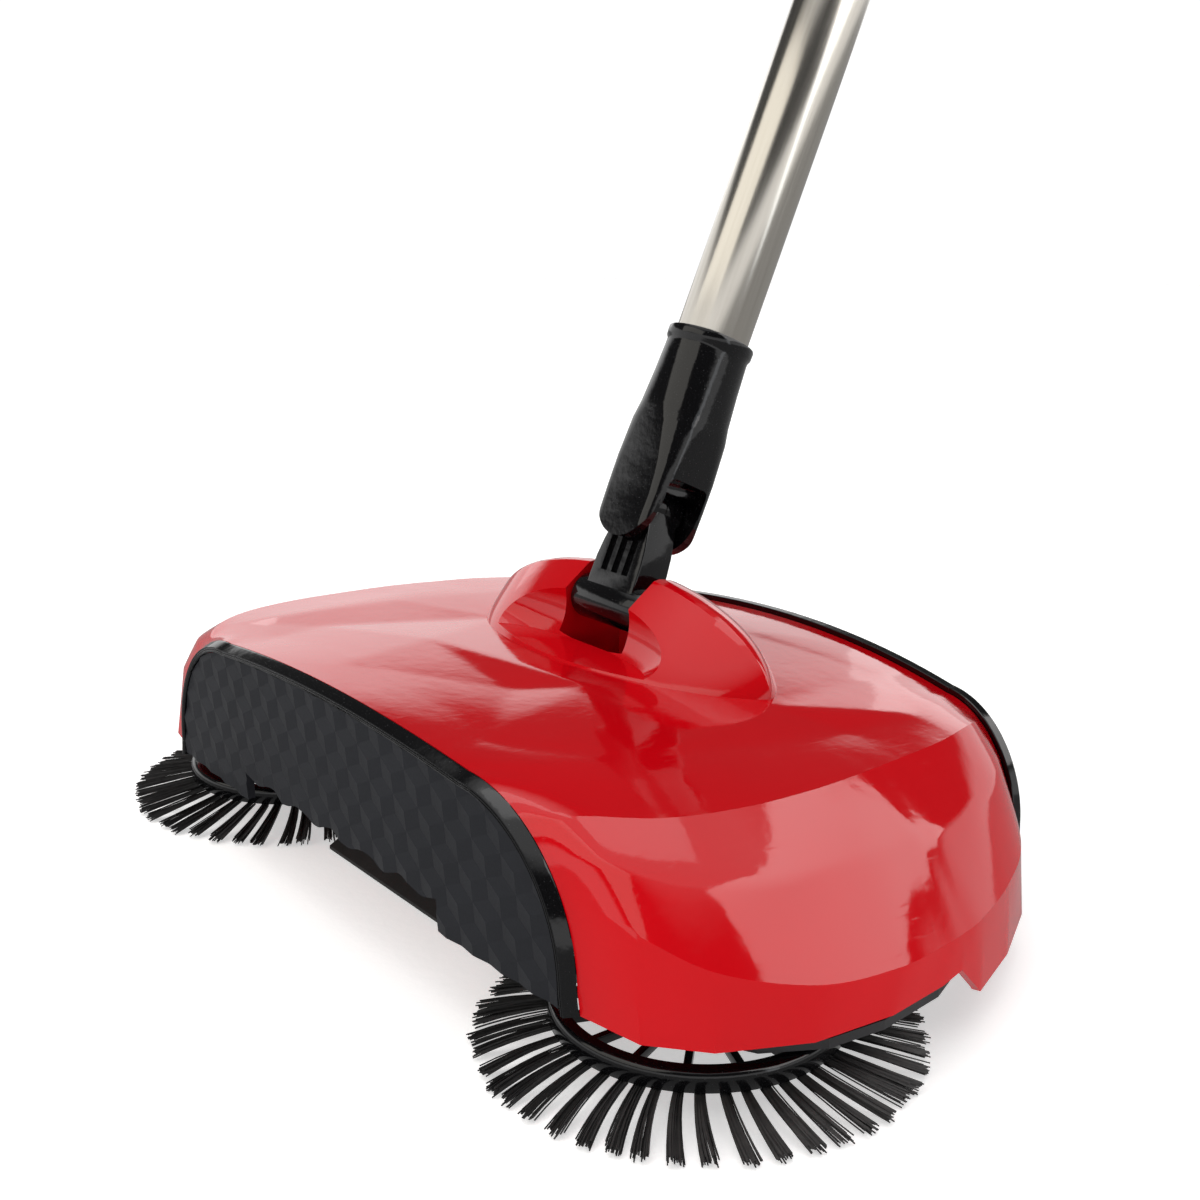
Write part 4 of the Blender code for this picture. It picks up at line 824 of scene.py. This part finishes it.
GRIP_TOP, RING_COUNT, RING_PITCH = 779.2, 44, 1.85      # in mm up the handle
grip_line = [(13.6, 0), (14.6, -0.6), (15.4, -2.2), (15.6, -4)]
for i in range(RING_COUNT):
    z = -8 - i * RING_PITCH
    body = 14.7 + 0.75 * math.sin(math.pi * i / (RING_COUNT - 1)) ** 2
    grip_line += [(body, z), (body + (0.35 if i % 2 else -0.1), z - 0.45)]
grip_line += [(15.6, -92), (16.2, -93.5), (16.4, -94.6), (16.4, -98), (16.1, -99.2), (15.4, -100),
              (12.8, -100), (12.8, 0)]
grip = along_handle(turned([(r, GRIP_TOP + d) for r, d in grip_line]))
piece("grip_rings", grip, soft, "handle", "black_gloss", "grip", sharp=50)

PLUG_LINE = [(0, 6), (7, 6), (8.4, 5.8), (10.6, 4.6), (12.2, 3.0), (13.2, 1.4), (13.6, 0.3), (11.85, 0.3),
             (11.85, -12), (0, -12)]
LOOP_SECTION = [(6.0, -2.4), (6.6, -3.0), (10.4, -3.0), (11.0, -2.4), (11.0, 2.4), (10.4, 3.0), (6.6, 3.0),
                (6.0, 2.4)]
LOOP_FOOT = [(-11, 2), (11, 2), (10.4, 10.5), (5.6, 11.6), (4.2, 9.4), (0, 8.0), (-4.2, 9.4), (-5.6, 11.6),
             (-10.4, 10.5)]
plug = turned([(r, GRIP_TOP + d) for r, d in PLUG_LINE])
loop_rings = []
for i in range(97):
    a = math.radians(-25 + 230 * i / 96)
    loop_rings.append([(r * math.cos(a) * MM, y * MM, (GRIP_TOP + 14 + r * math.sin(a)) * MM)
                       for r, y in LOOP_SECTION])
loop_foot = [[(x * MM, y * MM, (GRIP_TOP + z) * MM) for x, z in LOOP_FOOT] for y in (-3, 3)]
cap = shaped(plug, ("UNION", skin(loop_rings)), ("UNION", skin(loop_foot)))
piece("hanging_loop", along_handle(cap), black, "handle", "black_gloss", "end_cap", sharp=30)


# ---- Brushes -----------------------------------------------------------------
# Each brush is a black moulded disc with an open web of sixteen spokes. Flat
# tufts of black nylon set in its rim sweep the floor with their tips.
class Pattern(Board):
    """A Geometry Nodes tree with named sizes that makes repeated shapes."""

    def __init__(self, name, **sizes):
        super().__init__(bpy.data.node_groups.new(name, "GeometryNodeTree"))
        self.tree.interface.new_socket("Geometry", in_out="OUTPUT", socket_type="NodeSocketGeometry")
        self.sizes = {}
        for label, value in sizes.items():
            kind = "NodeSocketInt" if isinstance(value, int) else "NodeSocketFloat"
            socket = self.tree.interface.new_socket(label, in_out="INPUT", socket_type=kind)
            self.sizes[label] = (socket.identifier, value)
        self.entry, self.exit = self.tree.nodes.new("NodeGroupInput"), self.tree.nodes.new("NodeGroupOutput")

    def size(self, label):
        return Wire(self, self.entry.outputs[label])

    def chance(self, low, high, seed, each=None):
        """A different number for each item, the same at every run."""
        values = {2: low, 3: high, "Seed": seed}
        if each:
            values["ID"] = each
        return self.node("FunctionNodeRandomValue", {"data_type": "FLOAT"}, values, 1)

    def vector(self, x, y, z):
        return self.node("ShaderNodeCombineXYZ", {}, {0: x, 1: y, 2: z})

    def mesh(self, geometry, finish):
        """The plain mesh that the tree makes."""
        real = self.node("GeometryNodeRealizeInstances", {}, {"Geometry": geometry})
        done = self.node("GeometryNodeSetMaterial", {}, {"Geometry": real, "Material": finish.material})
        self.join(self.exit.inputs[0], done)
        holder = put("holder", bpy.data.meshes.new("holder"))
        maker = holder.modifiers.new("maker", "NODES")
        maker.node_group = self.tree
        for identifier, value in self.sizes.values():
            maker[identifier] = value
        bpy.context.view_layer.update()
        result = bpy.data.meshes.new_from_object(holder.evaluated_get(bpy.context.evaluated_depsgraph_get()))
        bpy.data.objects.remove(holder)
        return result


bristle = Finish("bristle_black", Specular_IOR_Level=0.4)
fibre = bristle.grain(0.004, 1.0)
bristle.feed("Base_Color", bristle.blend(fibre, (0.010, 0.010, 0.011), (0.040, 0.038, 0.037)))
bristle.feed("Roughness", 0.42 + bristle.grain(0.0012, 1.0) * 0.3)
bristle.relief((bristle.grain(0.0004), 0.00003))


def spokes():
    """The web's sixteen spokes, each a bar that widens towards the rim."""
    web = Pattern("spokes", Count=16, Start=8.5 * MM, End=37 * MM, Width=2.2 * MM, Depth=2.8 * MM,
                  Level=10.6 * MM)
    start, end = (web.vector(web.size(label), 0.0, 0.0) for label in ("Start", "End"))
    line = web.node("GeometryNodeCurvePrimitiveLine", {}, {"Start": start, "End": end})
    line = web.node("GeometryNodeResampleCurve", {}, {"Curve": line, "Count": 6})
    share = web.node("GeometryNodeSplineParameter")
    line = web.node("GeometryNodeSetCurveRadius", {}, {"Curve": line, "Radius": share * 0.5 + 0.85})
    sides = {"Width": web.size("Width"), "Height": web.size("Depth")}
    shape = web.node("GeometryNodeCurvePrimitiveQuadrilateral", {}, sides)
    shape = web.node("GeometryNodeFilletCurve", {"mode": "POLY"},
                     {"Curve": shape, "Radius": 0.3 * MM, "Count": 2})
    spoke = web.node("GeometryNodeCurveToMesh", {},
                     {"Curve": line, "Profile Curve": shape, "Fill Caps": True})
    middle = web.vector(0.0, 0.0, web.size("Level"))
    points = web.node("GeometryNodePoints", {}, {"Count": web.size("Count"), "Position": middle})
    turn = web.node("GeometryNodeInputIndex") * (2 * math.pi) / web.size("Count")
    placed = web.node("GeometryNodeInstanceOnPoints", {},
                      {"Points": points, "Instance": spoke, "Rotation": web.vector(0.0, 0.0, turn)})
    return web.mesh(placed, black)


def tufts(seed, sweep):
    """Flat tufts of tapered, slightly bent filaments round the rim, sloping down to the floor."""
    comb = Pattern("tufts", Tufts=46, Filaments=30, Root=38.6 * MM, Level=7.6 * MM, Reach=24.4 * MM,
                   Drop=5.4 * MM, Thick=0.24 * MM)
    number = comb.node("GeometryNodeInputIndex")
    tuft = comb.node("ShaderNodeMath", {"operation": "FLOOR"}, {0: number / comb.size("Filaments")})
    place = (number % comb.size("Filaments")) / comb.size("Filaments") - 0.5
    lean = comb.chance(-0.022, 0.022, seed, tuft)
    turn = tuft * (2 * math.pi) / comb.size("Tufts") + lean
    aside = place * 2.5 * MM
    layer = comb.chance(-0.5, 0.5, seed + 1) * 1.5 * MM
    root = comb.size("Root") + comb.chance(-0.6, 0.4, seed + 2) * MM
    cos, sin = (comb.node("ShaderNodeMath", {"operation": w}, {0: turn}) for w in ("COSINE", "SINE"))
    spot = comb.vector(root * cos - aside * sin, root * sin + aside * cos,
                       comb.size("Level") + layer - 0.9 * MM)
    total = comb.size("Tufts") * comb.size("Filaments")
    points = comb.node("GeometryNodePoints", {}, {"Count": total, "Position": spot})

    reach, drop = comb.size("Reach"), comb.size("Drop")
    curve = comb.node("GeometryNodeCurveQuadraticBezier", {}, {
        "Resolution": 5, "Start": (0, 0, 0), "Middle": comb.vector(reach * 0.5, 0.0, drop * -0.38),
        "End": comb.vector(reach, reach * sweep, drop * -1.0)})
    share = comb.node("GeometryNodeSplineParameter")
    curve = comb.node("GeometryNodeSetCurveRadius", {}, {"Curve": curve, "Radius": 1 - share * 0.45})
    shape = comb.node("GeometryNodeCurvePrimitiveCircle", {}, {"Resolution": 3, "Radius": comb.size("Thick")})
    strand = comb.node("GeometryNodeCurveToMesh", {},
                       {"Curve": curve, "Profile Curve": shape, "Fill Caps": True})

    fan = turn + place * 0.085 + comb.chance(-0.014, 0.014, seed + 3)
    pitch = comb.chance(-0.07, 0.012, seed + 4)
    long = comb.chance(0.9, 1.0, seed + 5) - comb.chance(0.0, 0.05, seed + 6, tuft)
    placed = comb.node("GeometryNodeInstanceOnPoints", {}, {
        "Points": points, "Instance": strand, "Rotation": comb.vector(0.0, pitch, fan),
        "Scale": comb.vector(long, 1.0, 1.0)})
    return comb.mesh(placed, bristle)


DRIVE_X = 117.4      # the spindles and the drive's bevel gears, in mm out from the middle
RIM_LINE = [(36.5, 13.0), (36.9, 13.5), (39.4, 13.5), (40.3, 13.0), (40.8, 12.2), (41.0, 11.2), (41.0, 8.0),
            (40.6, 7.5), (36.9, 7.5), (36.5, 7.9)]
HUB_LINE = [(2.9, 13.6), (8.4, 13.6), (9.0, 13.1), (9.0, 12.2), (10.4, 12.0), (12.6, 12.0), (12.9, 11.7),
            (12.9, 9.5), (12.6, 9.2), (9.0, 9.2), (9.0, 8.3), (8.7, 8.0), (2.9, 8.0)]
for side, word, seed in ((-1, "left", 11), (1, "right", 37)):
    spindle = Matrix.Translation(HEAD + Vector((side * DRIVE_X, SPINDLE_Y, 0)) * MM)
    for name, mesh in (("rim", turned(RIM_LINE, 128)), ("hub", turned(HUB_LINE, 64))):
        mesh.transform(spindle)
        piece(f"brush_{name}_{word}", mesh, black, f"brush_{word}", "black_gloss", sharp=40)
    web = spokes()
    web.transform(spindle)
    web.materials.clear()
    piece(f"brush_web_{word}", web, black, f"brush_{word}", "black_gloss", f"brush_disc_{word}", sharp=40)
    comb = tufts(seed, 0.10 * side)
    comb.transform(spindle)
    comb.materials.clear()
    piece(f"brush_tufts_{word}", comb, bristle, f"brush_{word}", "bristle", f"bristles_{word}", sharp=80)


# ---- Wheels ------------------------------------------------------------------
# Two moulded wheels carry the back of the head. Each has a grooved rubber tyre
# pressed over its rim and drives its brush through bevel gears.
rubber = Finish("tyre_rubber", Specular_IOR_Level=0.3)
rubber.feed("Base_Color", rubber.blend(rubber.grain(0.006), (0.018, 0.018, 0.018), (0.035, 0.034, 0.033)))
rubber.feed("Roughness", 0.62 + rubber.grain(0.0015) * 0.25)
rubber.relief((rubber.grain(0.0007), 0.00006))
dark = Finish("dark_plastic", Specular_IOR_Level=0.4)
dark.feed("Base_Color", dark.blend(dark.grain(0.02), (0.022, 0.022, 0.024), (0.036, 0.036, 0.038)))
dark.feed("Roughness", 0.42 + dark.grain(0.002) * 0.2)
dark.relief((dark.grain(0.0007), 0.00004))
AXLE_Y, AXLE_Z = 60, 20.5              # from the middle of the head, in mm
WHEEL_NEAR, WHEEL_FAR = 31.4, 49.4     # the wheel's two faces, inward from the layshaft
GROOVE_COUNT, GROOVE_PITCH = 5, 2.6
tread_line = [(16.5, -WHEEL_NEAR), (19.7, -WHEEL_NEAR), (20.2, -WHEEL_NEAR - 0.4), (20.5, -WHEEL_NEAR - 1.2)]
for i in range(1, GROOVE_COUNT + 1):
    z = -WHEEL_NEAR - 1.2 - i * GROOVE_PITCH
    tread_line += [(20.5, z + 0.5), (19.7, z + 0.3), (19.7, z - 0.3), (20.5, z - 0.5)]
tread_line += [(20.5, -WHEEL_FAR + 1.2), (20.2, -WHEEL_FAR + 0.4), (19.7, -WHEEL_FAR), (16.5, -WHEEL_FAR)]
wheel_line = [(5.0, -6.3), (5.0, -30.9), (14.2, -30.9), (14.6, -WHEEL_NEAR), (15.8, -WHEEL_NEAR),
              (16.2, -31.8), (16.2, -49.0), (15.8, -WHEEL_FAR), (14.6, -WHEEL_FAR), (14.2, -49.0),
              (14.2, -43.4), (7.4, -43.4), (7.0, -43.8), (7.0, -49.1), (6.7, -WHEEL_FAR), (2.8, -WHEEL_FAR),
              (2.8, -6.3)]
for side, word in ((-1, "left"), (1, "right")):
    axle = Matrix.Translation(HEAD + Vector((side * DRIVE_X, AXLE_Y, AXLE_Z)) * MM) @ \
        Matrix.Rotation(side * math.pi / 2, 4, "Y")
    tread, wheel = turned(tread_line), turned(wheel_line)
    for mesh in (tread, wheel):
        mesh.transform(axle)
    piece(f"tyre_tread_{word}", tread, rubber, f"wheel_{word}", "rubber", f"tyre_{word}", sharp=35)
    piece(f"wheel_body_{word}", wheel, dark, f"wheel_{word}", "dark_plastic", f"wheel_hub_{word}", sharp=35)


# ---- Drive, chassis and screws -------------------------------------------------
# White nylon bevel gears run on zinc-plated steel shafts in dark moulded
# bearings. A flat chassis plate screws up under the cover from below.
nylon = Finish("white_nylon", Specular_IOR_Level=0.45, Subsurface_Weight=0.1)
nylon.feed("Base_Color", nylon.blend(nylon.grain(0.006), (0.66, 0.65, 0.60), (0.78, 0.77, 0.73)))
nylon.feed("Roughness", 0.38 + nylon.grain(0.001) * 0.2)
nylon.relief((nylon.grain(0.0008), 0.00002))
for word in ("left", "right"):
    refinish(nylon, "white_nylon", f"wheel_gear_{word}", f"lay_gear_front_{word}", f"lay_gear_rear_{word}",
             f"spindle_gear_{word}")
    refinish(zinc, "zinc_steel", f"wheel_axle_{word}", f"layshaft_{word}", f"spindle_{word}",
             f"brush_screw_{word}")
    refinish(dark, "dark_plastic", f"axle_bracket_{word}", f"spindle_bracket_{word}",
             f"shaft_bearing_front_{word}", f"shaft_bearing_rear_{word}")
refinish(zinc, "zinc_steel", *(f"base_screw_{i}" for i in range(1, 7)))
refinish(dark, "dark_plastic", "base_plate", "scoop_ramp")
refinish(rubber, "rubber", "scraper_lip")
